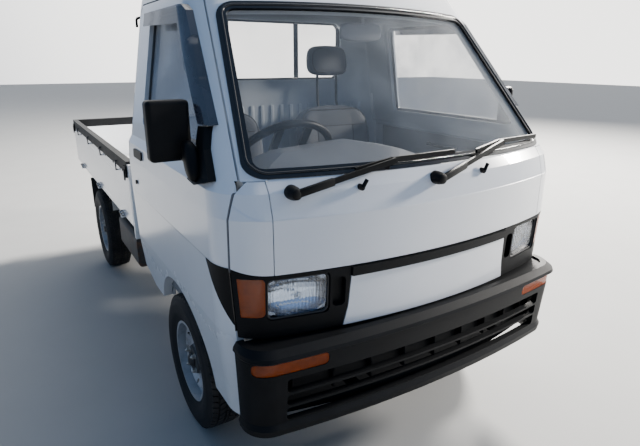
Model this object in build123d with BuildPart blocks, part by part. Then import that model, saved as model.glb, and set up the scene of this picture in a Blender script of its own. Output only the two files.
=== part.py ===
from build123d import *
from functools import lru_cache
from math import cos, hypot, radians, sin, sqrt
import os

# Small flat-nosed forward-control truck, right-hand drive, in millimetres.
# The front faces -Y, the truck's own right side is -X, and Z is up from the road.

# Driving sizes
WHEELBASE = 1900.0
AXLE_FRONT_Y = -945.0
AXLE_REAR_Y = AXLE_FRONT_Y + WHEELBASE
TRACK = 1205.0
HUB_Z = 268.0
GAP = 5.0
SEAT_GAP = 0.3

# Cab skin
WALL = 50.0
ROOF_WALL = 32.0
CAB_REAR_Y = -340.0
CAB_SIDE_TOP_Z = 1690.0
DOOR_FRONT_Y = -1462.0
DOOR_REAR_Y = -402.0
DOOR_TOP_Z = 1602.0
CREASE_Z = 855.0
HOOD_BOTTOM_Z = 832.0
SCREEN_BASE_Z = 1091.0
NOSE_SEAM_X = 565.0
GRILLE_BOTTOM_Z = 636.0
GRILLE_SEAM_X = 340.0

# Wheels and tyres
TYRE_R = 268.0
TYRE_W = 145.0
RIM_R = 166.0
RIM_SEAT_R = 152.0
RIM_W = 118.0
STUB_R = 18.0
RUNNING = 0.05
KING_X = 560.0
KING_R = 10.0
KING_HALF_Z = 62.0
STEER_MAX = 35.0

# Frame, floor and bed
RAIL_X = 325.0
RAIL_W = 55.0
RAIL_FRONT_TOP_Z = 440.0
RAIL_REAR_TOP_Z = 570.0
RAIL_H = 70.0
FRAME_FRONT_Y = -1500.0
RAIL_KICK_START_Y = -330.0
RAIL_KICK_END_Y = -150.0
FLOOR_T = 30.0
FOOTWELL_Z = 470.0
SEAT_BASE_Z = 655.0
FOOTWELL_REAR_Y = -1290.0
DECK_Z = 662.0
DECK_T = 22.0
BED_FRONT_Y = -315.0
GATE_X = 690.0
GATE_Y = 1631.0
GATE_T = 27.0
GATE_BOTTOM_Z = 646.0
GATE_TOP_Z = 940.0
GUARD_H = 12.0
GUARD_LIP = 2.5
GATE_PIN_R = 5.0
GATE_PIN_OUT = 9.0
GATE_PIN_Z = 652.0
GATE_EYE_R = 9.5
GATE_HINGE_YS = (-60.0, 640.0, 1340.0)
TAIL_HINGE_XS = (-480.0, 480.0)

# Door hinges
HINGE_X = 668.0
HINGE_Y = DOOR_FRONT_Y + 22.0
HINGE_ARM = (0.5, 9.5)
HINGE_PIN_R = 4.0
HINGE_ZS = (700.0, 970.0)

# Steering wheel
WHEEL_CENTRE = (-345.0, -1150.0, 1062.0)
WHEEL_TILT = 38.0
WHEEL_R = 185.0

# One row for each level of the cab skin:
# height, half width, nose at the centre line, rear wall, front arc radius, front corner, rear corner
CAB_ROWS = (
    (330.0, 660.0, -1562.0, -342.0, 2350.0, 130.0, 60.0),
    (430.0, 668.0, -1572.0, -341.0, 2350.0, 140.0, 60.0),
    (640.0, 690.0, -1590.0, CAB_REAR_Y, 2350.0, 150.0, 60.0),
    (CREASE_Z, 697.5, -1598.0, CAB_REAR_Y, 2350.0, 150.0, 60.0),
    (992.0, 696.0, -1600.0, CAB_REAR_Y, 2250.0, 150.0, 60.0),
    (1060.0, 692.0, -1585.0, CAB_REAR_Y, 2100.0, 145.0, 60.0),
    (SCREEN_BASE_Z, 676.0, -1571.0, CAB_REAR_Y, 1900.0, 135.0, 60.0),
    (1590.0, 589.0, -1132.0, -346.0, 1760.0, 110.0, 60.0),
    (CAB_SIDE_TOP_Z, 569.0, -1040.0, -352.0, 1760.0, 105.0, 70.0),
    (1728.0, 548.0, -990.0, -375.0, 1800.0, 105.0, 80.0),
    (1752.0, 490.0, -920.0, -430.0, 1900.0, 110.0, 90.0),
    (1765.0, 390.0, -820.0, -530.0, 2200.0, 120.0, 100.0),
)


def at_level(z):
    """The cab row at any level, between the rows of the table."""
    for low, high in zip(CAB_ROWS, CAB_ROWS[1:]):
        if z <= high[0]:
            t = (z - low[0]) / (high[0] - low[0])
            return tuple(a + t * (b - a) for a, b in zip(low, high))
    return CAB_ROWS[-1]


def nose_y(x, z, inset=0.0):
    """The y of the cab's front skin at one place, clear of its corners."""
    row = at_level(z)
    radius = row[4] - inset
    return row[2] + inset + radius - sqrt(radius * radius - x * x)


def cab_section(row, inset, z):
    """One closed plan section of the cab, drawn in by the inset."""
    _, half, nose, rear, radius, front_corner, rear_corner = row
    half -= inset
    nose += inset
    rear -= inset
    radius -= inset
    shoulder = nose + radius - sqrt(radius * radius - half * half)
    with BuildSketch(Plane.XY.offset(z)) as section:
        with BuildLine():
            ThreePointArc((-half, shoulder), (0, nose), (half, shoulder))
            Line((half, shoulder), (half, rear))
            Line((half, rear), (-half, rear))
            Line((-half, rear), (-half, shoulder))
        make_face()
        front = section.vertices().filter_by(lambda v: abs(v.Y - shoulder) < 1)
        fillet(front, max(front_corner - inset, 25.0))
        back = section.vertices().filter_by(lambda v: abs(v.Y - rear) < 0.01)
        fillet(back, max(rear_corner - inset, 8.0))
    return section.sketch


@lru_cache(maxsize=None)
def cab_body(inset, roof_inset=None):
    """The solid inside the cab's skin, drawn in by the inset on every side."""
    drop = inset if roof_inset is None else roof_inset
    top = CAB_ROWS[-1][0]
    sections = []
    for row in CAB_ROWS:
        z = row[0] - drop * max(0.0, (row[0] - 1590.0) / (top - 1590.0))
        sections.append(cab_section(row, inset, z))
    with BuildPart() as body:
        loft(sections=sections, ruled=True)
    return body.part


def side_prism(points, x0, x1, radius=0.0):
    """A prism along X with its outline in y and z, some corners rounded."""
    with BuildPart() as prism:
        with BuildSketch(Plane.YZ.offset(x0)) as outline:
            with BuildLine():
                Polyline(*points, close=True)
            make_face()
            if radius:
                fillet(outline.vertices(), radius)
        extrude(amount=x1 - x0)
    return prism.part


def front_prism(points, y0, y1, radius=0.0):
    """A prism along Y with its outline in x and z, from y0 back to y1."""
    with BuildPart() as prism:
        with BuildSketch(Plane.XZ.offset(-y0)) as outline:
            with BuildLine():
                Polyline(*points, close=True)
            make_face()
            if radius:
                fillet(outline.vertices(), radius)
        extrude(amount=y0 - y1)
    return prism.part


def block(x0, x1, y0, y1, z0, z1):
    """A plain block between two corners."""
    size = (x1 - x0, y1 - y0, z1 - z0)
    with BuildPart() as solid:
        with Locations(((x0 + x1) / 2, (y0 + y1) / 2, (z0 + z1) / 2)):
            Box(*size)
    return solid.part


def rod(start, end, radius):
    """A round bar between two points."""
    a, b = Vector(*start), Vector(*end)
    with BuildPart() as bar:
        with BuildSketch(Plane(origin=a, z_dir=b - a)):
            Circle(radius)
        extrude(amount=(b - a).length)
    return bar.part


def flat_bar(start, end, width, height):
    """A rectangular bar between two points, its height upright where it can be."""
    a, b = Vector(*start), Vector(*end)
    run = b - a
    across = Vector(-run.Y, run.X, 0) if hypot(run.X, run.Y) > 1 else Vector(1, 0, 0)
    with BuildPart() as bar:
        with BuildSketch(Plane(origin=a, x_dir=across, z_dir=run)):
            Rectangle(width, height)
        extrude(amount=run.length)
    return bar.part


def finish(piece, name):
    """Labels a finished piece and writes its file."""
    piece.label = name
    export_step(piece, f"parts/{name}.step")


os.makedirs("parts", exist_ok=True)
skin = cab_body(0.0)
room = cab_body(WALL, ROOF_WALL)
with BuildPart() as shell_block:
    add(skin)
    add(room, mode=Mode.SUBTRACT)
shell = shell_block.part

# Windscreen opening, drawn on a plane laid on the corners of the glass
SCREEN_LOW = (618.0, -1461.0, 1091.0)
SCREEN_HIGH = (527.0, -1068.0, 1568.0)
SCREEN_LOW_BOW = 62.0
SCREEN_HIGH_BOW = 37.0
SCREEN_CORNER = 62.0
SEAL_W = 30.0
SEAL_PROUD = 5.0
SCREEN_RUN = hypot(SCREEN_HIGH[1] - SCREEN_LOW[1], SCREEN_HIGH[2] - SCREEN_LOW[2])
screen_plane = Plane(
    origin=(0, SCREEN_LOW[1], SCREEN_LOW[2]),
    x_dir=(1, 0, 0),
    z_dir=(0, SCREEN_LOW[2] - SCREEN_HIGH[2], SCREEN_HIGH[1] - SCREEN_LOW[1]),
)


def screen_prism(inward):
    """A prism through the windscreen, its outline drawn in from the seal's edge."""
    low, high = SCREEN_LOW[0], SCREEN_HIGH[0]
    with BuildPart() as prism:
        with BuildSketch(screen_plane.offset(-260)) as outline:
            with BuildLine():
                ThreePointArc((-low, 0), (0, -SCREEN_LOW_BOW), (low, 0))
                Line((low, 0), (high, SCREEN_RUN))
                ThreePointArc((high, SCREEN_RUN), (0, SCREEN_RUN - SCREEN_HIGH_BOW), (-high, SCREEN_RUN))
                Line((-high, SCREEN_RUN), (-low, 0))
            make_face()
            fillet(outline.vertices(), SCREEN_CORNER)
            if inward:
                offset(amount=-inward, kind=Kind.INTERSECTION)
        extrude(amount=520)
    return prism.part


# Outlines in y and z, for the side of the cab
ARCH_Y = AXLE_FRONT_Y
ARCH_Z = 306.0
ARCH_R = 307.0
SILL_Z = 434.0
DOOR_STEP_Z = 1092.0
DOOR_SEAM_X = (630.0, 545.0)
DOOR_IN_X = 637.0
DOOR_OUTLINE = (
    (DOOR_FRONT_Y, 336.0),
    (DOOR_FRONT_Y, 1062.0),
    (DOOR_FRONT_Y + 12, DOOR_STEP_Z),
    (-1650.0, DOOR_STEP_Z + 1),
    (-1650.0, DOOR_TOP_Z),
    (-440.0, DOOR_TOP_Z),
    (DOOR_REAR_Y, 1562.0),
    (DOOR_REAR_Y, 487.0),
    (-540.0, SILL_Z - 2.0),
    (-700.0, SILL_Z),
    (-760.0, 332.0),
)
WINDOW_OUTLINE = (
    (-1334.0, 1150.0),
    (-1305.0, 1236.0),
    (-1032.0, 1548.0),
    (-572.0, 1548.0),
    (-572.0, 1150.0),
)
WINDOW_CORNER = 22.0
DOOR_APERTURE = (
    (-1350.0, DOOR_STEP_Z - 12),
    (-1350.0, 1150.0),
    (-1322.0, 1243.0),
    (-1040.0, 1566.0),
    (-556.0, 1566.0),
    (-556.0, DOOR_STEP_Z - 12),
)
LINING_CUT = 12.0
BELOW_CAB = (
    (-1000.0, 0.0),
    (0.0, 0.0),
    (0.0, 638.0),
    (-338.0, 638.0),
    (-376.0, 498.0),
    (-397.0, 489.0),
    (-540.0, 430.0),
    (-1000.0, 430.0),
)


def grown(points, amount):
    """The outline drawn out by an amount, as a list of corners."""
    with BuildSketch() as outline:
        with BuildLine():
            Polyline(*points, close=True)
        make_face()
        offset(amount=amount, kind=Kind.INTERSECTION)
    return outline.sketch


def grown_side_prism(points, amount, x0, x1):
    """A side prism whose outline is drawn out by an amount."""
    with BuildPart() as prism:
        with BuildSketch(Plane.YZ.offset(x0)):
            add(grown(points, amount))
        extrude(amount=x1 - x0)
    return prism.part


def door_zone(side, grow):
    """The space of one door with its front seam, drawn out by an amount."""
    low, high = DOOR_SEAM_X
    step = DOOR_STEP_Z - grow
    with BuildPart() as zone:
        add(grown_side_prism(DOOR_OUTLINE, grow, side * 480, side * 900))
        add(front_prism(((side * (low - grow), step), (side * (high - grow), DOOR_TOP_Z + 9),
                         (side * 950, DOOR_TOP_Z + 9), (side * 950, 200),
                         (side * (DOOR_IN_X - grow), 200), (side * (DOOR_IN_X - grow), step)),
                        -1800, 0), mode=Mode.INTERSECT)
    return zone.part


arch_tool = rod((-900, ARCH_Y, ARCH_Z), (900, ARCH_Y, ARCH_Z), ARCH_R)

NOSE_TOP_Z = 1090.0
NOSE_TOP_X = 556.0

# Cab shell: roof, pillars, rear wall, hinge posts and front bulkhead
REAR_WINDOW = (-400.0, 400.0, 1305.0, 1572.0)
BULKHEAD_IN = WALL + SEAT_GAP
BULKHEAD_T = 16.0
POST_X = (575.0, 616.0)
POST_Y = (DOOR_FRONT_Y - GAP + SEAT_GAP, -1412.0)
CAB_LOW_Z = 470.0
REAR_WALL_LOW_Z = 640.0

bulkhead_out = cab_body(BULKHEAD_IN)
bulkhead_in = cab_body(BULKHEAD_IN + BULKHEAD_T)
with BuildPart() as cab_shell:
    add(shell)
    for side in (-1, 1):
        add(door_zone(side, GAP), mode=Mode.SUBTRACT)
        with BuildPart(mode=Mode.PRIVATE) as aperture:
            add(door_zone(side, GAP + LINING_CUT))
            add(side_prism(DOOR_APERTURE, side * 420, side * 900), mode=Mode.INTERSECT)
        add(aperture.part, mode=Mode.SUBTRACT)
    add(block(-900, 900, -1800, -700, 0, NOSE_TOP_Z + 1.5), mode=Mode.SUBTRACT)
    add(block(-NOSE_TOP_X - 1.5, NOSE_TOP_X + 1.5, -1800, -1400, 1000, 1140), mode=Mode.SUBTRACT)
    add(block(-600, 600, -1800, 0, 0, REAR_WALL_LOW_Z), mode=Mode.SUBTRACT)
    add(screen_prism(SEAL_W / 2), mode=Mode.SUBTRACT)
    add(front_prism(
        ((REAR_WINDOW[0], REAR_WINDOW[2]), (REAR_WINDOW[1], REAR_WINDOW[2]),
         (REAR_WINDOW[1], REAR_WINDOW[3]), (REAR_WINDOW[0], REAR_WINDOW[3])),
        -200, -460, 45), mode=Mode.SUBTRACT)
    add(arch_tool, mode=Mode.SUBTRACT)
    add(side_prism(BELOW_CAB, -900, 900), mode=Mode.SUBTRACT)
with BuildPart() as bulkhead:
    add(bulkhead_out)
    add(bulkhead_in, mode=Mode.SUBTRACT)
    add(block(-POST_X[1], POST_X[1], -1800, POST_Y[1], CAB_LOW_Z, 1118), mode=Mode.INTERSECT)
    add(screen_prism(SEAL_W / 2), mode=Mode.SUBTRACT)
with BuildPart() as posts:
    for side in (-1, 1):
        x0, x1 = sorted((side * POST_X[0], side * POST_X[1]))
        add(block(x0, x1, POST_Y[0], POST_Y[1], CAB_LOW_Z, NOSE_TOP_Z - 5))
        with BuildPart(mode=Mode.PRIVATE) as post_head:
            add(block(x0, x1, POST_Y[0], POST_Y[1], NOSE_TOP_Z - 6, NOSE_TOP_Z + 30))
            add(cab_body(18.0), mode=Mode.INTERSECT)
        add(post_head.part)
        for z in HINGE_ZS:
            a, b = sorted((side * (POST_X[1] - 4), side * HINGE_X))
            add(block(a, b, HINGE_Y + HINGE_ARM[0], HINGE_Y + HINGE_ARM[1], z - 8, z + 8))
            add(rod((side * HINGE_X, HINGE_Y, z - 22), (side * HINGE_X, HINGE_Y, z + 22), HINGE_PIN_R))
with BuildPart() as cab_whole:
    add(cab_shell.part)
    add(bulkhead.part)
    add(posts.part)
finish(cab_whole.part, "cab_shell")

# Nose panel with its two corner panels, in one node of three solids; its lower edge rises at the corners
NOSE_REAR_Y = DOOR_FRONT_Y - GAP
NOSE_TURN_Y = -1528.0
NOSE_EDGE_RISE = 20.0
NOSE_EDGE_GAP = 3.0
with BuildPart() as nose_panels:
    add(shell)
    add(side_prism(((-1800, HOOD_BOTTOM_Z), (NOSE_TURN_Y, HOOD_BOTTOM_Z),
                    (NOSE_REAR_Y, HOOD_BOTTOM_Z + NOSE_EDGE_RISE),
                    (NOSE_REAR_Y, 1140), (-1800, 1140)), -900, 900), mode=Mode.INTERSECT)
    add(screen_prism(-1.5), mode=Mode.SUBTRACT)
    for side in (-1, 1):
        x0, x1 = sorted((side * NOSE_TOP_X, side * 900))
        add(block(x0, x1, -1800, -1000, NOSE_TOP_Z, 1300), mode=Mode.SUBTRACT)
        seam = side * NOSE_SEAM_X
        add(block(seam - 1.5, seam + 1.5, -1800, -1300, 800, 1160), mode=Mode.SUBTRACT)
    add(block(-900, 900, -1800, -1000, 1125, 1300), mode=Mode.SUBTRACT)
finish(nose_panels.part, "nose_panels")

# Grille panel and the lamp bezels, split from the same skin
BEZEL_TOP_Z = HOOD_BOTTOM_Z - NOSE_EDGE_GAP
MOULDING_Z = (798.0, 826.0)
with BuildPart() as grille_panel:
    add(shell)
    add(front_prism(
        ((-GRILLE_SEAM_X - 14, GRILLE_BOTTOM_Z), (GRILLE_SEAM_X + 14, GRILLE_BOTTOM_Z),
         (GRILLE_SEAM_X, 700), (GRILLE_SEAM_X - 6, MOULDING_Z[0] - 2),
         (-GRILLE_SEAM_X + 6, MOULDING_Z[0] - 2),
         (-GRILLE_SEAM_X, 700)), -1800, -1300), mode=Mode.INTERSECT)
finish(grille_panel.part, "grille_panel")

# Lamp openings in x and z: inner x, outer x, bottom, top
HEADLAMP = (408.0, 578.0, 698.0, 812.0)
LAMP_RIM = 7.0
CORNER_LAMP = (590.0, 800.0, 704.0, 824.0)
CORNER_LAMP_REAR_Y = -1478.0
BEZEL_RECESS = (352.0, 392.0, 706.0, 800.0)
LAMP_DEPTH = 34.0
lamp_skin_front = cab_body(7.0)
lamp_skin_back = cab_body(LAMP_DEPTH)


def lamp_opening(side, area, grow):
    """The prism of one lamp's opening, on one side of the truck."""
    x0, x1, z0, z1 = area
    points = ((side * (x0 - grow), z0 - grow), (side * (x1 + grow), z0 - grow),
              (side * (x1 + grow), z1 + grow), (side * (x0 - grow), z1 + grow))
    return front_prism(points, -1800, -1400, 14)


with BuildPart() as lamp_bezels:
    add(shell)
    add(side_prism(((-1800, GRILLE_BOTTOM_Z), (NOSE_REAR_Y, GRILLE_BOTTOM_Z),
                    (NOSE_REAR_Y, BEZEL_TOP_Z + NOSE_EDGE_RISE),
                    (NOSE_TURN_Y, BEZEL_TOP_Z), (-1800, BEZEL_TOP_Z)), -900, 900), mode=Mode.INTERSECT)
    add(front_prism(
        ((-GRILLE_SEAM_X - 17, 500), (GRILLE_SEAM_X + 17, 500), (GRILLE_SEAM_X + 17, GRILLE_BOTTOM_Z),
         (GRILLE_SEAM_X + 3, 701), (GRILLE_SEAM_X - 3, MOULDING_Z[0] - 3), (GRILLE_SEAM_X - 3, 900),
         (-GRILLE_SEAM_X + 3, 900), (-GRILLE_SEAM_X + 3, MOULDING_Z[0] - 3), (-GRILLE_SEAM_X - 3, 701),
         (-GRILLE_SEAM_X - 17, GRILLE_BOTTOM_Z)), -1800, -1300), mode=Mode.SUBTRACT)
    for side in (-1, 1):
        add(lamp_opening(side, HEADLAMP, LAMP_RIM), mode=Mode.SUBTRACT)
        with BuildPart(mode=Mode.PRIVATE) as recess:
            add(lamp_opening(side, BEZEL_RECESS, 0))
            add(cab_body(20.0), mode=Mode.SUBTRACT)
        add(recess.part, mode=Mode.SUBTRACT)
        with BuildPart(mode=Mode.PRIVATE) as corner_hole:
            add(lamp_opening(side, CORNER_LAMP, SEAT_GAP))
            add(block(-900, 900, -1800, CORNER_LAMP_REAR_Y + 1, 600, 900), mode=Mode.INTERSECT)
        add(corner_hole.part, mode=Mode.SUBTRACT)
with BuildPart() as moulding:
    add(cab_body(-8.0))
    add(room, mode=Mode.SUBTRACT)
    add(block(-GRILLE_SEAM_X + 5, GRILLE_SEAM_X - 5, -1800, -1400, *MOULDING_Z), mode=Mode.INTERSECT)
with BuildPart() as bezels_whole:
    add(lamp_bezels.part)
    add(moulding.part)
finish(bezels_whole.part, "lamp_bezels")

with BuildPart() as headlamps:
    add(lamp_skin_front)
    add(lamp_skin_back, mode=Mode.SUBTRACT)
    with BuildPart(mode=Mode.PRIVATE) as headlamp_area:
        for side in (-1, 1):
            add(lamp_opening(side, HEADLAMP, LAMP_RIM - SEAT_GAP))
    add(headlamp_area.part, mode=Mode.INTERSECT)
finish(headlamps.part, "headlamps")

# Bumper: a wrap-round shell with slots, level rows of
# height, half width, nose, front arc radius, corner radius
BUMPER_ROWS = (
    (322.0, 645.0, -1590.0, 4200.0, 80.0),
    (340.0, 668.0, -1620.0, 4200.0, 86.0),
    (362.0, 671.0, -1624.0, 4200.0, 88.0),
    (378.0, 666.0, -1616.0, 4200.0, 88.0),
    (540.0, 671.0, -1627.0, 4300.0, 88.0),
    (594.0, 673.0, -1631.0, 4300.0, 90.0),
    (605.0, 679.0, -1645.5, 4300.0, 92.0),
    (616.0, 677.0, -1642.0, 4300.0, 92.0),
    (631.0, 667.0, -1616.0, 4300.0, 90.0),
)
BUMPER_WALL = 22.0
BUMPER_END_Y = -1476.0
BUMPER_REAR_Y = -1300.0
BUMPER_SLOTS = ((384.0, 428.0), (436.0, 474.0), (482.0, 530.0))
BUMPER_SLOT_X = 560.0
BUMPER_LAMP = (432.0, 656.0, 552.0, 592.0)


@lru_cache(maxsize=None)
def bumper_body(inset):
    """The solid inside the bumper's skin, open towards the rear."""
    sections = []
    for z, half, nose, radius, corner in BUMPER_ROWS:
        half -= inset
        nose += inset
        radius -= inset
        shoulder = nose + radius - sqrt(radius * radius - half * half)
        with BuildSketch(Plane.XY.offset(z)) as section:
            with BuildLine():
                ThreePointArc((-half, shoulder), (0, nose), (half, shoulder))
                Line((half, shoulder), (half, BUMPER_REAR_Y))
                Line((half, BUMPER_REAR_Y), (-half, BUMPER_REAR_Y))
                Line((-half, BUMPER_REAR_Y), (-half, shoulder))
            make_face()
            fillet(section.vertices().filter_by(lambda v: abs(v.Y - shoulder) < 1), corner - inset)
        sections.append(section.sketch)
    with BuildPart() as body:
        loft(sections=sections, ruled=True)
    return body.part


bumper_skin = bumper_body(0.0)
with BuildPart() as bumper:
    add(bumper_skin)
    add(bumper_body(BUMPER_WALL), mode=Mode.SUBTRACT)
    add(block(-900, 900, -1800, BUMPER_END_Y, 300, 700), mode=Mode.INTERSECT)
    for z0, z1 in BUMPER_SLOTS:
        add(front_prism(((-BUMPER_SLOT_X, z0), (BUMPER_SLOT_X, z0), (BUMPER_SLOT_X, z1),
                         (-BUMPER_SLOT_X, z1)),
                        -1800, -1400, 10), mode=Mode.SUBTRACT)
    for side in (-1, 1):
        with BuildPart(mode=Mode.PRIVATE) as lamp_pocket:
            add(lamp_opening(side, BUMPER_LAMP, SEAT_GAP))
            add(bumper_body(14.0), mode=Mode.SUBTRACT)
        add(lamp_pocket.part, mode=Mode.SUBTRACT)

# The bumper's top shelf runs back to the nose, and two brackets reach the frame
BUMPER_SHELF_Z = GRILLE_BOTTOM_Z - 14.0
with BuildPart() as bumper_shelf:
    add(bumper_body(4.0))
    add(cab_body(30.0), mode=Mode.SUBTRACT)
    add(block(-900, 900, -1800, BUMPER_END_Y, BUMPER_SHELF_Z - 12, BUMPER_SHELF_Z), mode=Mode.INTERSECT)
with BuildPart() as bumper_whole:
    add(bumper.part)
    add(bumper_shelf.part)
    for side in (-1, 1):
        x = side * RAIL_X
        z0, z1 = BUMPER_SLOTS[0][1], BUMPER_SLOTS[1][0]
        add(block(x - 20, x + 20, nose_y(RAIL_X, 430) - 46, FRAME_FRONT_Y - SEAT_GAP, z0, z1))
        add(block(x - 20, x + 20, FRAME_FRONT_Y - 6, FRAME_FRONT_Y - SEAT_GAP, RAIL_FRONT_TOP_Z - RAIL_H + 2,
                  z1))
finish(bumper_whole.part, "bumper")

with BuildPart() as amber_lamps:
    add(cab_body(1.0))
    add(lamp_skin_back, mode=Mode.SUBTRACT)
    with BuildPart(mode=Mode.PRIVATE) as corner_area:
        for side in (-1, 1):
            add(lamp_opening(side, CORNER_LAMP, 0))
        add(block(-900, 900, -1800, CORNER_LAMP_REAR_Y, 600, 900), mode=Mode.INTERSECT)
    add(corner_area.part, mode=Mode.INTERSECT)
with BuildPart() as bumper_lamps:
    add(bumper_body(2.0))
    add(bumper_body(14.0 - SEAT_GAP), mode=Mode.SUBTRACT)
    with BuildPart(mode=Mode.PRIVATE) as bumper_lamp_area:
        for side in (-1, 1):
            add(lamp_opening(side, BUMPER_LAMP, 0))
    add(bumper_lamp_area.part, mode=Mode.INTERSECT)
with BuildPart() as ambers:
    add(amber_lamps.part)
    add(bumper_lamps.part)
finish(ambers.part, "amber_lamps")

# Windscreen glass and its rubber
GLASS_T = 6.0
GLASS_IN = 9.0
with BuildPart() as windscreen:
    add(cab_body(GLASS_IN))
    add(cab_body(GLASS_IN + GLASS_T), mode=Mode.SUBTRACT)
    add(screen_prism(SEAL_W / 2 + SEAT_GAP), mode=Mode.INTERSECT)
finish(windscreen.part, "windscreen")
with BuildPart() as windscreen_seal:
    add(cab_body(-SEAL_PROUD))
    add(cab_body(-SEAT_GAP), mode=Mode.SUBTRACT)
    add(screen_prism(0), mode=Mode.INTERSECT)
    add(screen_prism(SEAL_W), mode=Mode.SUBTRACT)
with BuildPart() as seal_lip:
    add(cab_body(-SEAL_PROUD))
    add(cab_body(GLASS_IN - SEAT_GAP), mode=Mode.SUBTRACT)
    add(screen_prism(SEAL_W / 2 + SEAT_GAP), mode=Mode.INTERSECT)
    add(screen_prism(SEAL_W), mode=Mode.SUBTRACT)
with BuildPart() as seal_whole:
    add(windscreen_seal.part)
    add(seal_lip.part)
finish(seal_whole.part, "windscreen_seal")

# Rear window
with BuildPart() as rear_window:
    add(front_prism(
        ((REAR_WINDOW[0] + SEAT_GAP, REAR_WINDOW[2] + SEAT_GAP),
         (REAR_WINDOW[1] - SEAT_GAP, REAR_WINDOW[2] + SEAT_GAP),
         (REAR_WINDOW[1] - SEAT_GAP, REAR_WINDOW[3] - SEAT_GAP),
         (REAR_WINDOW[0] + SEAT_GAP, REAR_WINDOW[3] - SEAT_GAP)),
        -362, -368, 45 - SEAT_GAP))
finish(rear_window.part, "rear_window")

# Doors, their glass and their fittings, one set for each side
DOOR_PIN_FIT = 0.08
HINGE_SLOT_R = 58.0
HINGE_SLOT_Z = 12.0
GLASS_DOOR_IN = 22.0
MIRROR_BASE = (684.0, -1318.0)
MIRROR_CENTRE = (741.0, -1222.0)
MIRROR_SIZE = (122.0, 52.0, 172.0)
MIRROR_LOW_Z = 1120.0
MIRROR_HINGE = (684.0, -1198.0)
MIRROR_FOLD = {-1: 0.0, 1: 40.0}
KEY_AT = (-508.0, 905.0)
BLACK_TIP = ((DOOR_FRONT_Y, 676.0), (DOOR_FRONT_Y, CREASE_Z - 2), (-1352.0, CREASE_Z - 2))
door_glass_out = cab_body(GLASS_DOOR_IN)
door_glass_in = cab_body(GLASS_DOOR_IN + 4.5)
trim_out = cab_body(-6.0)
tip_out = cab_body(-2.0)
hinge_skin = cab_body(4.5)
trim_face = cab_body(-SEAT_GAP)
visor_out = cab_body(-22.0)
visor_in = cab_body(-18.5)
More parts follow.
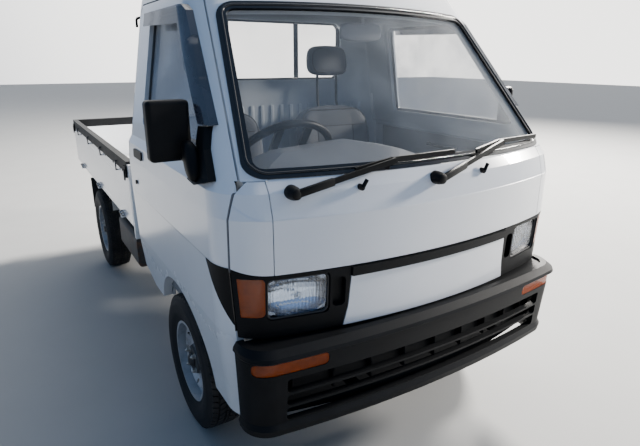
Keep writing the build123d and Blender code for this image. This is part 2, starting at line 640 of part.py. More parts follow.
for side, tag in ((-1, "r"), (1, "l")):
    half_space = block(min(side * 420, side * 900), max(side * 420, side * 900), -1800, 0, 300, 1700)
    with BuildPart() as door:
        add(shell)
        add(door_zone(side, 0), mode=Mode.INTERSECT)
        add(side_prism(WINDOW_OUTLINE, side * 420, side * 900, WINDOW_CORNER), mode=Mode.SUBTRACT)
        add(arch_tool, mode=Mode.SUBTRACT)
        for z in HINGE_ZS:
            with BuildPart(mode=Mode.PRIVATE) as slot:
                with Locations((side * HINGE_X, HINGE_Y, z)):
                    Cylinder(HINGE_SLOT_R, 2 * HINGE_SLOT_Z)
                add(hinge_skin, mode=Mode.INTERSECT)
            add(slot.part, mode=Mode.SUBTRACT)
            add(rod((side * HINGE_X, HINGE_Y, z - 24), (side * HINGE_X, HINGE_Y, z + 24),
                    HINGE_PIN_R + DOOR_PIN_FIT), mode=Mode.SUBTRACT)
    finish(door.part, f"door_{tag}")
    with BuildPart() as glass:
        add(door_glass_out)
        add(door_glass_in, mode=Mode.SUBTRACT)
        add(half_space, mode=Mode.INTERSECT)
        add(side_prism(WINDOW_OUTLINE, side * 420, side * 900, WINDOW_CORNER), mode=Mode.INTERSECT)
        add(door_zone(side, -SEAT_GAP), mode=Mode.INTERSECT)
    finish(glass.part, f"door_glass_{tag}")
    with BuildPart() as visor:
        add(visor_out)
        add(visor_in, mode=Mode.SUBTRACT)
        add(half_space, mode=Mode.INTERSECT)
        add(side_prism(((-1322, 1226), (-1042, 1545), (-1010, 1564), (-560, 1564), (-560, 1518),
                        (-1000, 1508),
                        (-1276, 1226)), side * 420, side * 900), mode=Mode.INTERSECT)
    with BuildPart() as visor_whole:
        add(visor.part)
        with BuildPart(mode=Mode.PRIVATE) as visor_edge:
            add(visor_out)
            add(trim_face, mode=Mode.SUBTRACT)
            add(half_space, mode=Mode.INTERSECT)
            add(side_prism(((-1322, 1226), (-1042, 1545), (-1010, 1564), (-560, 1564), (-560, 1559),
                            (-1008, 1559),
                            (-1038, 1540), (-1316, 1226)), side * 420, side * 900), mode=Mode.INTERSECT)
        add(visor_edge.part)
    finish(visor_whole.part, f"door_visor_{tag}")
    with BuildPart() as housing:
        with BuildSketch(Plane.XY.offset(MIRROR_LOW_Z)):
            with Locations((side * MIRROR_CENTRE[0], MIRROR_CENTRE[1])):
                RectangleRounded(MIRROR_SIZE[0], MIRROR_SIZE[1], 14)
        extrude(amount=MIRROR_SIZE[2])
        caps = housing.edges().filter_by(lambda e: min(abs(e.center().Z - MIRROR_LOW_Z),
                                                       abs(e.center().Z - MIRROR_LOW_Z - MIRROR_SIZE[2])) < 1)
        fillet(caps, 12)
    turn = Axis((side * MIRROR_HINGE[0], MIRROR_HINGE[1], 0), (0, 0, 1))
    elbow_at = Vertex(side * (MIRROR_CENTRE[0] - 30), MIRROR_CENTRE[1] - 8, MIRROR_LOW_Z + 24)
    elbow_at = elbow_at.rotate(turn, side * MIRROR_FOLD[side])
    elbow = (elbow_at.X, elbow_at.Y, elbow_at.Z)
    with BuildPart() as fittings:
        add(housing.part.rotate(turn, side * MIRROR_FOLD[side]))
        add(rod((side * (MIRROR_BASE[0] + 10), MIRROR_BASE[1], 1094), elbow, 12))
        with BuildPart(mode=Mode.PRIVATE) as plate:
            add(cab_body(-22.0))
            add(trim_face, mode=Mode.SUBTRACT)
            add(half_space, mode=Mode.INTERSECT)
            add(side_prism(((-1400, 1086), (-1336, 1163), (-1308, 1222), (-1280, 1222), (-1296, 1130),
                            (-1262, 1106),
                            (-1262, 1070), (-1330, 1066)), side * 420, side * 900), mode=Mode.INTERSECT)
        add(plate.part)
        with BuildPart(mode=Mode.PRIVATE) as handle:
            add(trim_out)
            add(trim_face, mode=Mode.SUBTRACT)
            add(half_space, mode=Mode.INTERSECT)
            add(side_prism(((-635, 1014), (-635, 1048), (-507, 1048), (-507, 1014)), side * 420, side * 900,
                           8),
                mode=Mode.INTERSECT)
        add(handle.part)
        with BuildPart(mode=Mode.PRIVATE) as key:
            add(trim_out)
            add(trim_face, mode=Mode.SUBTRACT)
            add(rod((side * 600, KEY_AT[0], KEY_AT[1]), (side * 800, KEY_AT[0], KEY_AT[1]), 9),
                mode=Mode.INTERSECT)
        add(key.part)
        with BuildPart(mode=Mode.PRIVATE) as black_tip:
            add(tip_out)
            add(trim_face, mode=Mode.SUBTRACT)
            add(half_space, mode=Mode.INTERSECT)
            add(side_prism(BLACK_TIP, side * 420, side * 900), mode=Mode.INTERSECT)
        add(black_tip.part)
    finish(fittings.part, f"door_fittings_{tag}")

# Wheels: rims and tyres, turned about their axles
def tyre(centre_x, centre_y):
    """A tyre, turned about its axle."""
    half = TYRE_W / 2
    with BuildPart() as ring:
        with BuildSketch(Plane.XY) as profile:
            with BuildLine():
                l1 = Line((-RIM_W / 2 + 4, RIM_SEAT_R + 2), (-RIM_W / 2 + 4, RIM_R + 4))
                l2 = ThreePointArc(l1 @ 1, (-half, RIM_R + 40), (-half + 12, TYRE_R - 16))
                l3 = ThreePointArc(l2 @ 1, (-half + 19, TYRE_R - 7), (-half + 30, TYRE_R - 2))
                l4 = ThreePointArc(l3 @ 1, (0, TYRE_R), (half - 30, TYRE_R - 2))
                l5 = ThreePointArc(l4 @ 1, (half - 19, TYRE_R - 7), (half - 12, TYRE_R - 16))
                l6 = ThreePointArc(l5 @ 1, (half, RIM_R + 40), (RIM_W / 2 - 4, RIM_R + 4))
                l7 = Line(l6 @ 1, (RIM_W / 2 - 4, RIM_SEAT_R + 2))
                Line(l7 @ 1, l1 @ 0)
            make_face()
        revolve(axis=Axis.X)
    return ring.part.moved(Location((centre_x, centre_y, HUB_Z)))


def rim(side, centre_x, centre_y):
    """A pressed steel rim with its disc and hub, facing outwards."""
    half = RIM_W / 2
    with BuildPart() as wheel:
        with BuildSketch(Plane.XY):
            with BuildLine():
                Polyline((-half, RIM_R), (-half + 3.6, RIM_R), (-half + 3.6, RIM_SEAT_R + 1.6),
                         (-18, RIM_SEAT_R + 1.6),
                         (-14, 140), (14, 140), (22, RIM_SEAT_R + 1.6), (half - 3.6, RIM_SEAT_R + 1.6),
                         (half - 3.6, RIM_R), (half, RIM_R), (half, RIM_SEAT_R - 2), (24, RIM_SEAT_R - 2),
                         (16, 136.4), (-16, 136.4), (-20, RIM_SEAT_R - 2), (-half, RIM_SEAT_R - 2),
                         close=True)
            make_face()
        revolve(axis=Axis.X)
        with BuildSketch(Plane.XY):
            with BuildLine():
                Polyline((10, 136.6), (30, 128), (36, 112), (22, 88), (26, 62), (44, 54), (44, 30),
                         (44, STUB_R + RUNNING), (-12, STUB_R + RUNNING), (-12, 34), (34, 38), (38, 50),
                         (20, 58), (16, 88), (28, 112), (24, 124), (6, 136.6), close=True)
            make_face()
        revolve(axis=Axis.X)
        with BuildSketch(Plane.YZ.offset(-10)):
            with PolarLocations(104, 8):
                Circle(9)
        extrude(amount=70, mode=Mode.SUBTRACT)
    turned = wheel.part if side > 0 else wheel.part.mirror(Plane.YZ)
    return turned.moved(Location((centre_x, centre_y, HUB_Z)))


for place, axle_y in (("front", AXLE_FRONT_Y), ("rear", AXLE_REAR_Y)):
    for side, tag in ((-1, "r"), (1, "l")):
        centre = side * TRACK / 2
        finish(tyre(centre, axle_y), f"{place}_tyre_{tag}")
        finish(rim(side, centre, axle_y), f"{place}_rim_{tag}")

# Steered knuckles and what carries them
STUB_END_X = TRACK / 2 + 40
for side, tag in ((-1, "r"), (1, "l")):
    with BuildPart() as knuckle:
        with BuildSketch(Plane.XY.offset(HUB_Z - KING_HALF_Z)):
            with Locations((side * KING_X, AXLE_FRONT_Y)):
                Circle(22)
        extrude(amount=2 * KING_HALF_Z)
        add(rod((side * KING_X, AXLE_FRONT_Y, HUB_Z), (side * (TRACK / 2 - 14), AXLE_FRONT_Y, HUB_Z), 30))
        add(rod((side * (KING_X + 10), AXLE_FRONT_Y, HUB_Z), (side * STUB_END_X, AXLE_FRONT_Y, HUB_Z),
                STUB_R))
        add(rod((side * KING_X, AXLE_FRONT_Y, HUB_Z - 80), (side * KING_X, AXLE_FRONT_Y, HUB_Z + 80),
                KING_R + RUNNING), mode=Mode.SUBTRACT)
        add(flat_bar((side * KING_X, AXLE_FRONT_Y + 16, HUB_Z - 40),
                     (side * (KING_X - 14), AXLE_FRONT_Y + 92, HUB_Z - 40),
                     18, 14))
    finish(knuckle.part, f"knuckle_{tag}")

STRUT_X = 462.0
ARM_Z = HUB_Z - 76.0
with BuildPart() as front_suspension:
    for side in (-1, 1):
        pin_x = side * KING_X
        add(rod((pin_x, AXLE_FRONT_Y, ARM_Z), (pin_x, AXLE_FRONT_Y, HUB_Z + 84), KING_R))
        add(flat_bar((pin_x, AXLE_FRONT_Y, ARM_Z), (side * 300, AXLE_FRONT_Y, ARM_Z + 40), 34, 16))
        add(rod((side * 420, AXLE_FRONT_Y, ARM_Z + 20), (side * 330, AXLE_FRONT_Y - 330, 330), 10))
        add(flat_bar((pin_x, AXLE_FRONT_Y, HUB_Z + 76), (side * (STRUT_X - 14), AXLE_FRONT_Y, HUB_Z + 92), 34,
                     16))
        add(rod((side * STRUT_X, AXLE_FRONT_Y, HUB_Z + 70), (side * (STRUT_X - 22), AXLE_FRONT_Y, 560), 24))
        add(rod((side * (STRUT_X - 18), AXLE_FRONT_Y, 520), (side * (STRUT_X - 24), AXLE_FRONT_Y, 612), 44))
        add(block(min(side * 300, side * 353), max(side * 300, side * 353), AXLE_FRONT_Y - 30,
                  AXLE_FRONT_Y + 30,
                  ARM_Z + 26, RAIL_FRONT_TOP_Z - RAIL_H - SEAT_GAP))
        add(block(min(side * 318, side * 342), max(side * 318, side * 342), AXLE_FRONT_Y - 346,
                  AXLE_FRONT_Y - 314,
                  312, RAIL_FRONT_TOP_Z - RAIL_H - SEAT_GAP))
    add(rod((-330, AXLE_FRONT_Y + 30, 262), (330, AXLE_FRONT_Y + 30, 262), 14))
finish(front_suspension.part, "front_suspension")

SPRING_X = RAIL_X
with BuildPart() as rear_axle:
    add(rod((-STUB_END_X, AXLE_REAR_Y, HUB_Z), (STUB_END_X, AXLE_REAR_Y, HUB_Z), STUB_R))
    reach = TRACK / 2 - 14
    add(rod((-reach, AXLE_REAR_Y, HUB_Z), (reach, AXLE_REAR_Y, HUB_Z), 32))
    with Locations((0, AXLE_REAR_Y, HUB_Z)):
        Sphere(92)
    add(rod((0, AXLE_REAR_Y, HUB_Z), (0, AXLE_REAR_Y - 150, HUB_Z + 10), 40))
    add(rod((0, AXLE_REAR_Y - 148, HUB_Z + 10), (0, -359, 362), 26))
    for side in (-1, 1):
        with BuildSketch(Plane.YZ.offset(side * SPRING_X - 25)):
            with BuildLine():
                top = ThreePointArc((AXLE_REAR_Y - 480, 414), (AXLE_REAR_Y, 318), (AXLE_REAR_Y + 480, 414))
                Line(top @ 1, (AXLE_REAR_Y + 480, 400))
                low = ThreePointArc((AXLE_REAR_Y + 480, 400), (AXLE_REAR_Y, 286), (AXLE_REAR_Y - 480, 400))
                Line(low @ 1, top @ 0)
            make_face()
        extrude(amount=50)
        for dy in (-470, 470):
            add(block(side * SPRING_X - 16, side * SPRING_X + 16, AXLE_REAR_Y + dy - 14,
                      AXLE_REAR_Y + dy + 14, 400,
                      RAIL_REAR_TOP_Z - RAIL_H - SEAT_GAP))
finish(rear_axle.part, "rear_axle")

# Ladder frame: two rails that kick up behind the cab, cross members and tow eyes
FRAME_REAR_Y = 1600.0
# y and z of each eye and the level its plate reaches up to
TOW_EYES = (
    (-1440.0, 308.0, RAIL_FRONT_TOP_Z - 30.0),
    (1580.0, 474.0, RAIL_REAR_TOP_Z - 30.0),
)
with BuildPart() as frame:
    for side in (-1, 1):
        low_f, low_r = RAIL_FRONT_TOP_Z - RAIL_H, RAIL_REAR_TOP_Z - RAIL_H
        add(side_prism((
            (FRAME_FRONT_Y, low_f), (RAIL_KICK_START_Y, low_f), (RAIL_KICK_END_Y, low_r),
            (FRAME_REAR_Y, low_r),
            (FRAME_REAR_Y, RAIL_REAR_TOP_Z), (RAIL_KICK_END_Y - 20, RAIL_REAR_TOP_Z),
            (RAIL_KICK_START_Y - 20, RAIL_FRONT_TOP_Z), (FRAME_FRONT_Y, RAIL_FRONT_TOP_Z),
        ), side * RAIL_X - RAIL_W / 2, side * RAIL_X + RAIL_W / 2))
    for y, top in ((-1440, RAIL_FRONT_TOP_Z), (-250, RAIL_REAR_TOP_Z - 73), (120, RAIL_REAR_TOP_Z),
                   (640, RAIL_REAR_TOP_Z), (1270, RAIL_REAR_TOP_Z), (1575, RAIL_REAR_TOP_Z)):
        reach = RAIL_X - RAIL_W / 2 - SEAT_GAP
        add(block(-reach, reach, y - 25, y + 25, top - 46, top - 2))
    for y, z, top in TOW_EYES:
        with BuildSketch(Plane.YZ.offset(RAIL_X - 70 - 6)):
            with Locations((y, z)):
                Circle(26)
            with Locations((y, (z + top) / 2)):
                Rectangle(52, top - z)
            with Locations((y, z)):
                Circle(14, mode=Mode.SUBTRACT)
        extrude(amount=12)
finish(frame.part, "frame")

# Engine and gearbox as one block, with its exhaust pipe and silencer on two hangers
with BuildPart() as engine:
    add(block(-190, 190, -880, -440, 300, 590))
    fillet(engine.edges().filter_by(Axis.Y), 30)
    add(rod((0, -460, 370), (0, -360, 365), 60))
    for side in (-1, 1):
        x0, x1 = sorted((side * 180, side * (RAIL_X - RAIL_W / 2 - SEAT_GAP)))
        add(block(x0, x1, -700, -640, 385, 425))
    add(rod((225, -560, 330), (225, 0, 330), 19))
    add(rod((225, -560, 330), (185, -560, 330), 19))
    with Locations((225, -560, 330)):
        Sphere(19)
    add(rod((225, -12, 330), (225, 330, 330), 62))
    add(rod((225, 318, 330), (225, 560, 400), 19))
    for y in (40, 300):
        add(block(215, 235, y - 8, y + 8, 385, 510))
        add(block(215, RAIL_X - RAIL_W / 2 - SEAT_GAP, y - 8, y + 8, 505, 520))
finish(engine.part, "engine")
with BuildPart() as fuel_tank:
    add(block(-640, -RAIL_X - RAIL_W / 2 - SEAT_GAP - 12, -40, 420, 330, 500))
    fillet(fuel_tank.edges().filter_by(Axis.Y), 22)
    for y in (40, 340):
        add(block(-560, -RAIL_X - RAIL_W / 2 - SEAT_GAP, y - 15, y + 15, 499, 512))
finish(fuel_tank.part, "fuel_tank")

# Cab floor: footwell, seat base over the wheels, and its rear flange
FLOOR_X = 617.0
with BuildPart() as cab_floor:
    add(side_prism((
        (-1600, FOOTWELL_Z - FLOOR_T + SEAT_GAP),
        (FOOTWELL_REAR_Y + FLOOR_T, FOOTWELL_Z - FLOOR_T + SEAT_GAP),
        (FOOTWELL_REAR_Y + FLOOR_T, SEAT_BASE_Z - FLOOR_T), (CAB_REAR_Y - 2, SEAT_BASE_Z - FLOOR_T),
        (CAB_REAR_Y - 2, REAR_WALL_LOW_Z - SEAT_GAP), (CAB_REAR_Y - WALL - 1, REAR_WALL_LOW_Z - SEAT_GAP),
        (CAB_REAR_Y - WALL - 1, SEAT_BASE_Z), (FOOTWELL_REAR_Y, SEAT_BASE_Z), (FOOTWELL_REAR_Y, FOOTWELL_Z),
        (-1600, FOOTWELL_Z)), -FLOOR_X, FLOOR_X))
    add(cab_body(WALL + BULKHEAD_T + 2 * SEAT_GAP), mode=Mode.INTERSECT)
    for side in (-1, 1):
        x0, x1 = sorted((side * (POST_X[0] - SEAT_GAP), side * 700))
        add(block(x0, x1, -1700, POST_Y[1] + SEAT_GAP, 400, 700), mode=Mode.SUBTRACT)
    add(block(-599, 599, CAB_REAR_Y - 80, CAB_REAR_Y - 2, SEAT_BASE_Z - FLOOR_T, REAR_WALL_LOW_Z - SEAT_GAP))
    for side in (-1, 1):
        x0, x1 = sorted((side * (RAIL_X - 24), side * (RAIL_X + 24)))
        add(block(x0, x1, -520 - 20, -520 + 20, RAIL_FRONT_TOP_Z + SEAT_GAP, SEAT_BASE_Z - FLOOR_T + 2))
finish(cab_floor.part, "cab_floor")

# Dashboard with the steering column, and the steering wheel
DASH_TOP_Z = 1052.0
HOOD_OUTLINE = (
    (-548.0, 1000.0),
    (-545.0, 1090.0),
    (-430.0, 1128.0),
    (-165.0, 1146.0),
    (10.0, 1112.0),
    (130.0, 1060.0),
    (150.0, 1000.0),
)
with BuildPart() as dashboard:
    add(side_prism((
        (-1600, 1070), (-1320, DASH_TOP_Z), (-1225, DASH_TOP_Z - 22), (-1205, 980), (-1235, 880),
        (-1290, 800),
        (-1600, 800)), -700, 700))
    add(cab_body(WALL + BULKHEAD_T + 2 * SEAT_GAP), mode=Mode.INTERSECT)
    add(block(-POST_X[0] + 2, POST_X[0] - 2, -1800, -1000, 700, 1200), mode=Mode.INTERSECT)
    with BuildPart(mode=Mode.PRIVATE) as hood:
        add(front_prism(HOOD_OUTLINE, -1600, -1200, 25))
        add(side_prism(((-1440, 1000), (-1440, 1080), (-1270, 1150), (-1252, 1142), (-1236, 1080),
                        (-1232, 1000)),
                       -600, 600), mode=Mode.INTERSECT)
        add(cab_body(WALL + BULKHEAD_T + 2 * SEAT_GAP), mode=Mode.INTERSECT)
    add(hood.part)
    tilt = radians(WHEEL_TILT)
    cx, cy, cz = WHEEL_CENTRE
    low = (cx, cy - 46 * cos(tilt), cz - 46 * sin(tilt))
    add(rod(low, (cx, cy - 230 * cos(tilt), cz - 230 * sin(tilt)), 30))
    add(rod((cx, cy - 6 * cos(tilt), cz - 6 * sin(tilt)), low, 8))
finish(dashboard.part, "dashboard")

wheel_axis = (0, cos(radians(WHEEL_TILT)), sin(radians(WHEEL_TILT)))
wheel_plane = Plane(origin=WHEEL_CENTRE, x_dir=(1, 0, 0), z_dir=wheel_axis)
with BuildPart() as steering_wheel:
    with BuildSketch(Plane(origin=wheel_plane.from_local_coords((WHEEL_R, 0, 0)), x_dir=(1, 0, 0),
                           z_dir=wheel_plane.y_dir)):
        Circle(13)
    revolve(axis=Axis(wheel_plane.origin, wheel_plane.z_dir))
    with BuildSketch(wheel_plane.offset(-10)):
        Circle(44)
    extrude(amount=26)
    with BuildSketch(wheel_plane.offset(-7)):
        with Locations((0, -4)):
            Rectangle(2 * WHEEL_R - 8, 34)
        with Locations((-52, -90), (52, -90)):
            Rectangle(26, 176)
        Circle(WHEEL_R, mode=Mode.INTERSECT)
    extrude(amount=12)
    with BuildSketch(wheel_plane.offset(-12)):
        Circle(8.05)
    extrude(amount=14, mode=Mode.SUBTRACT)
finish(steering_wheel.part, "steering_wheel")

# Seats: cushion, back and headrest on each side
SEAT_W = 460.0
SEAT_CENTRES_X = (-332.0, 282.0)
SEAT_CUSHION = (-1040.0, -560.0, 122.0)
HEADREST_Z = 1394.0
with BuildPart() as seats:
    for centre in SEAT_CENTRES_X:
        x0, x1 = centre - SEAT_W / 2, centre + SEAT_W / 2
        with BuildPart(mode=Mode.PRIVATE) as cushion:
            add(block(x0, x1, SEAT_CUSHION[0], SEAT_CUSHION[1], SEAT_BASE_Z + SEAT_GAP,
                      SEAT_BASE_Z + SEAT_CUSHION[2]))
            fillet(cushion.edges().filter_by(Axis.X), 28)
        add(cushion.part)
        with BuildPart(mode=Mode.PRIVATE) as back:
            add(front_prism(((x0 + 4, SEAT_BASE_Z + 30), (x0 + 4, 1120), (x0 + 70, 1188), (x1 - 70, 1188),
                             (x1 - 4, 1120),
                             (x1 - 4, SEAT_BASE_Z + 30)), -700, -400, 26))
            add(side_prism(((-610, 760), (-520, 1200), (-425, 1200), (-425, SEAT_BASE_Z + 20),
                            (-590, SEAT_BASE_Z + 20)),
                           x0, x1), mode=Mode.INTERSECT)
        add(back.part)
        with BuildPart(mode=Mode.PRIVATE) as headrest:
            with BuildSketch(Plane.XZ.offset(402)):
                with Locations((centre, HEADREST_Z)):
                    RectangleRounded(254, 168, 56)
            extrude(amount=84)
            fillet(headrest.edges().filter_by(lambda e: abs(e.center().Y + 486) < 1), 20)
        add(headrest.part)
        for dx in (-56, 56):
            add(rod((centre + dx, -448, 1170), (centre + dx, -448, 1330), 6))
finish(seats.part, "seats")

# Room mirror under the header
with BuildPart() as room_mirror:
    with BuildSketch(Plane.XZ.offset(1040)):
        with Locations((55, 1497)):
            RectangleRounded(185, 62, 20)
    extrude(amount=20)
    add(rod((55, -1048, 1515), (55, -1034, 1640), 7))
    add(cab_body(WALL + SEAT_GAP, ROOF_WALL + SEAT_GAP), mode=Mode.INTERSECT)
finish(room_mirror.part, "room_mirror")

# Wipers, parked to the truck's left: pivot x, then x and z of the blade's near end, middle and far end
WIPERS = (
    (-506.0, (-318.0, 1108.0), (-190.0, 1126.0), (56.0, 1129.0)),
    (-40.0, (156.0, 1122.0), (300.0, 1138.0), (572.0, 1130.0)),
)
WIPER_PIVOT_Z = 1062.0
BLADE_OUT = 24.0
NOZZLES_X = (-306.0, 171.0)
NOZZLE_Z = 1060.0


def off_glass(place, out):
    """The point at one x and z that stands off the front skin."""
    return (place[0], nose_y(*place) - out, place[1])


with BuildPart() as wipers:
    for pivot_x, near, middle, far in WIPERS:
        pivot = (pivot_x, WIPER_PIVOT_Z)
        add(rod(off_glass(pivot, -12), off_glass(pivot, 36), 13))
        add(flat_bar(off_glass(pivot, 28), off_glass(middle, 42), 8, 16))
        for end in (near, far):
            add(flat_bar(off_glass(middle, BLADE_OUT), off_glass(end, BLADE_OUT), 8, 14))
        add(rod(off_glass(middle, 44), off_glass(middle, BLADE_OUT - 3), 8))
    for x in NOZZLES_X:
        add(rod(off_glass((x, NOZZLE_Z), -12), off_glass((x, NOZZLE_Z), 12), 9))
        add(rod(off_glass((x, NOZZLE_Z), 12), off_glass((x + 14, NOZZLE_Z + 22), 22), 6))
    add(cab_body(-SEAT_GAP), mode=Mode.SUBTRACT)
finish(wipers.part, "wipers")

# Bed: deck on cross bearers, headboard, guard frame behind the cab, corner stakes
BED_X = GATE_X - GATE_T - GAP
BED_REAR_Y = GATE_Y - GATE_T - GAP
HEADBOARD_T = 26.0
GUARD_POST_X = 470.0
GUARD_TOP_Z = 1606.0
GUARD_BAR_X = 185.0
HOOK_YS = (-50.0, 410.0, 870.0, 1330.0)
HOOK_XS = (-420.0, 0.0, 420.0)
HOOK_Z = (872.0, 922.0)
HOOK_OUT = 13.0
HOOK_W = 6.0
LATCH_LOW_Z = 862.0
HINGE_HALF = 12.0
HINGE_DROP = 22.0
END_BEARER_YS = (-290.0, 1575.0)
BEARER_YS = (60.0, 420.0, 760.0, 1250.0)
BEARER_REACH = BED_X - 22 - SEAT_GAP
BEARER_TOP_Z = DECK_Z - DECK_T - SEAT_GAP
WHEEL_GUARD_X = 460.0
WHEEL_GUARD_Y = 628.0
WHEEL_GUARD_LOW_Z = 478.0


def gate_bracket(at_y):
    """One fixed hinge bracket and pin of the left side gate, in the plane across the pin."""
    pin = GATE_X + GATE_PIN_OUT
    with BuildPart() as bracket:
        add(block(BED_X - 4, pin + GATE_PIN_R, at_y - HINGE_HALF, at_y + HINGE_HALF,
                  GATE_PIN_Z - HINGE_DROP, GATE_PIN_Z - HINGE_DROP + 8))
        add(block(pin - GATE_PIN_R, pin + GATE_PIN_R, at_y - HINGE_HALF, at_y + HINGE_HALF,
                  GATE_PIN_Z - HINGE_DROP, GATE_PIN_Z))
        add(rod((pin, at_y - 30, GATE_PIN_Z), (pin, at_y + 30, GATE_PIN_Z), GATE_PIN_R))
    return bracket.part


def to_tail(piece, at_x):
    """Turns a piece made for the left side gate at y 0 to the tailgate at one x."""
    turned = piece.rotate(Axis.Z, 90)
    return turned.moved(Location((at_x, GATE_Y - GATE_X, 0)))


def bearer(at_y):
    """One cross bearer that carries the deck on the frame rails."""
    return block(-BEARER_REACH, BEARER_REACH, at_y - 22, at_y + 22, RAIL_REAR_TOP_Z + SEAT_GAP, BEARER_TOP_Z)


with BuildPart() as bed:
    add(block(-BED_X, BED_X, BED_FRONT_Y, BED_REAR_Y, DECK_Z - DECK_T, DECK_Z))
    for y in END_BEARER_YS:
        add(bearer(y))
    for side in (-1, 1):
        a, b = sorted((side * (BED_X - 22), side * BED_X))
        add(block(a, b, BED_FRONT_Y, BED_REAR_Y, RAIL_REAR_TOP_Z + 16, DECK_Z - DECK_T))
    add(block(-GATE_X, GATE_X, BED_FRONT_Y, BED_FRONT_Y + HEADBOARD_T, RAIL_REAR_TOP_Z + 16, GATE_TOP_Z))
    for side in (-1, 1):
        x = side * GUARD_POST_X
        add(rod((x, BED_FRONT_Y + 10, GATE_TOP_Z - 20), (x, BED_FRONT_Y + 10, GUARD_TOP_Z), 14))
        bar = side * GUARD_BAR_X
        add(rod((bar, BED_FRONT_Y + 10, GATE_TOP_Z - 20), (bar, BED_FRONT_Y + 10, GUARD_TOP_Z), 9))
    add(rod((-GUARD_POST_X - 14, BED_FRONT_Y + 10, GUARD_TOP_Z),
            (GUARD_POST_X + 14, BED_FRONT_Y + 10, GUARD_TOP_Z), 14))
    for y in GATE_HINGE_YS:
        add(gate_bracket(y))
        add(gate_bracket(y).mirror(Plane.YZ))
    for x in TAIL_HINGE_XS:
        add(to_tail(gate_bracket(0), x))
finish(bed.part, "bed")
with BuildPart() as bed_bearers:
    for y in BEARER_YS:
        add(bearer(y))
    for side in (-1, 1):
        inner, outer = side * WHEEL_GUARD_X, side * BEARER_REACH
        add(front_prism(((inner, BEARER_TOP_Z), (outer, BEARER_TOP_Z), (outer, WHEEL_GUARD_LOW_Z),
                         (inner + side * 90, WHEEL_GUARD_LOW_Z)), WHEEL_GUARD_Y - 1.5, WHEEL_GUARD_Y + 1.5))
finish(bed_bearers.part, "bed_bearers")


def gate_panel(start, end, hinge_places, hook_places):
    """A gate of the left side from start to end in y, with its hinge eyes and rope hooks."""
    pin = GATE_X + GATE_PIN_OUT
    with BuildPart() as panel:
        add(block(GATE_X - GATE_T, GATE_X, start, end, GATE_BOTTOM_Z, GATE_TOP_Z))
        for y in hinge_places:
            for shift in (-1, 1):
                a, b = sorted((y + shift * 14, y + shift * 28))
                add(rod((pin, a, GATE_PIN_Z), (pin, b, GATE_PIN_Z), GATE_EYE_R))
                add(block(GATE_X - 1, pin, a, b, GATE_PIN_Z - 4, GATE_PIN_Z + GATE_EYE_R))
                add(rod((pin, a, GATE_PIN_Z), (pin, b, GATE_PIN_Z), GATE_PIN_R + RUNNING), mode=Mode.SUBTRACT)
        for y in hook_places:
            low, high = HOOK_Z
            add(block(GATE_X - 1, GATE_X + HOOK_OUT, y - HOOK_W / 2, y + HOOK_W / 2, low, high))
            add(block(GATE_X, GATE_X + HOOK_OUT - HOOK_W, y - HOOK_W, y + HOOK_W, low + HOOK_W,
                      high - HOOK_W),
                mode=Mode.SUBTRACT)
    return panel.part


def guard_cap(start, end):
    """The guard folded over the top edge of a left side gate."""
    with BuildPart() as cap:
        add(block(GATE_X - GATE_T - SEAT_GAP - GUARD_LIP, GATE_X + SEAT_GAP + GUARD_LIP, start, end,
                  GATE_TOP_Z - 16, GATE_TOP_Z + GUARD_H))
        add(block(GATE_X - GATE_T - SEAT_GAP, GATE_X + SEAT_GAP, start - 1, end + 1,
                  GATE_TOP_Z - 17, GATE_TOP_Z + SEAT_GAP), mode=Mode.SUBTRACT)
        for a, b in ((start + 6, start + 52), (end - 52, end - 6)):
            add(block(GATE_X + SEAT_GAP, GATE_X + 9, a, b, LATCH_LOW_Z + 14, GATE_TOP_Z - 12))
            add(block(GATE_X + 8, GATE_X + 13, a + 14, b - 14, LATCH_LOW_Z, GATE_TOP_Z - 26))
    return cap.part


side_start, side_end = BED_FRONT_Y + HEADBOARD_T + GAP, BED_REAR_Y - 3
left_gate = gate_panel(side_start, side_end, GATE_HINGE_YS, HOOK_YS)
left_cap = guard_cap(side_start, side_end)
finish(left_gate, "gate_l")
finish(left_gate.mirror(Plane.YZ), "gate_r")
finish(left_cap, "gate_guard_l")
finish(left_cap.mirror(Plane.YZ), "gate_guard_r")
tail = gate_panel(-GATE_X, GATE_X, [-x for x in TAIL_HINGE_XS], HOOK_XS)
finish(to_tail(tail, 0), "tailgate")
finish(to_tail(guard_cap(-GATE_X, GATE_X), 0), "gate_guard_tail")

# Rear lamps and mud flaps under the bed
with BuildPart() as rear_lamps:
    for side in (-1, 1):
        a, b = sorted((side * 420, side * 610))
        add(block(a, b, 1597 + SEAT_GAP, 1622, 512, 606))
finish(rear_lamps.part, "rear_lamps")
with BuildPart() as mud_flaps:
    for side in (-1, 1):
        a, b = sorted((side * 500, side * (BED_X + 8)))
        add(block(a, b, 1256, 1262, 350, RAIL_REAR_TOP_Z))
finish(mud_flaps.part, "mud_flaps")
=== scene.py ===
"""Dresses the small flat-bed truck: paint, plastic, glass, tyres, padded seats and small fittings."""

import math
from functools import partialmethod

import bmesh
import bpy
import numpy as np
from mathutils import Euler, Matrix, Vector
from mathutils.bvhtree import BVHTree


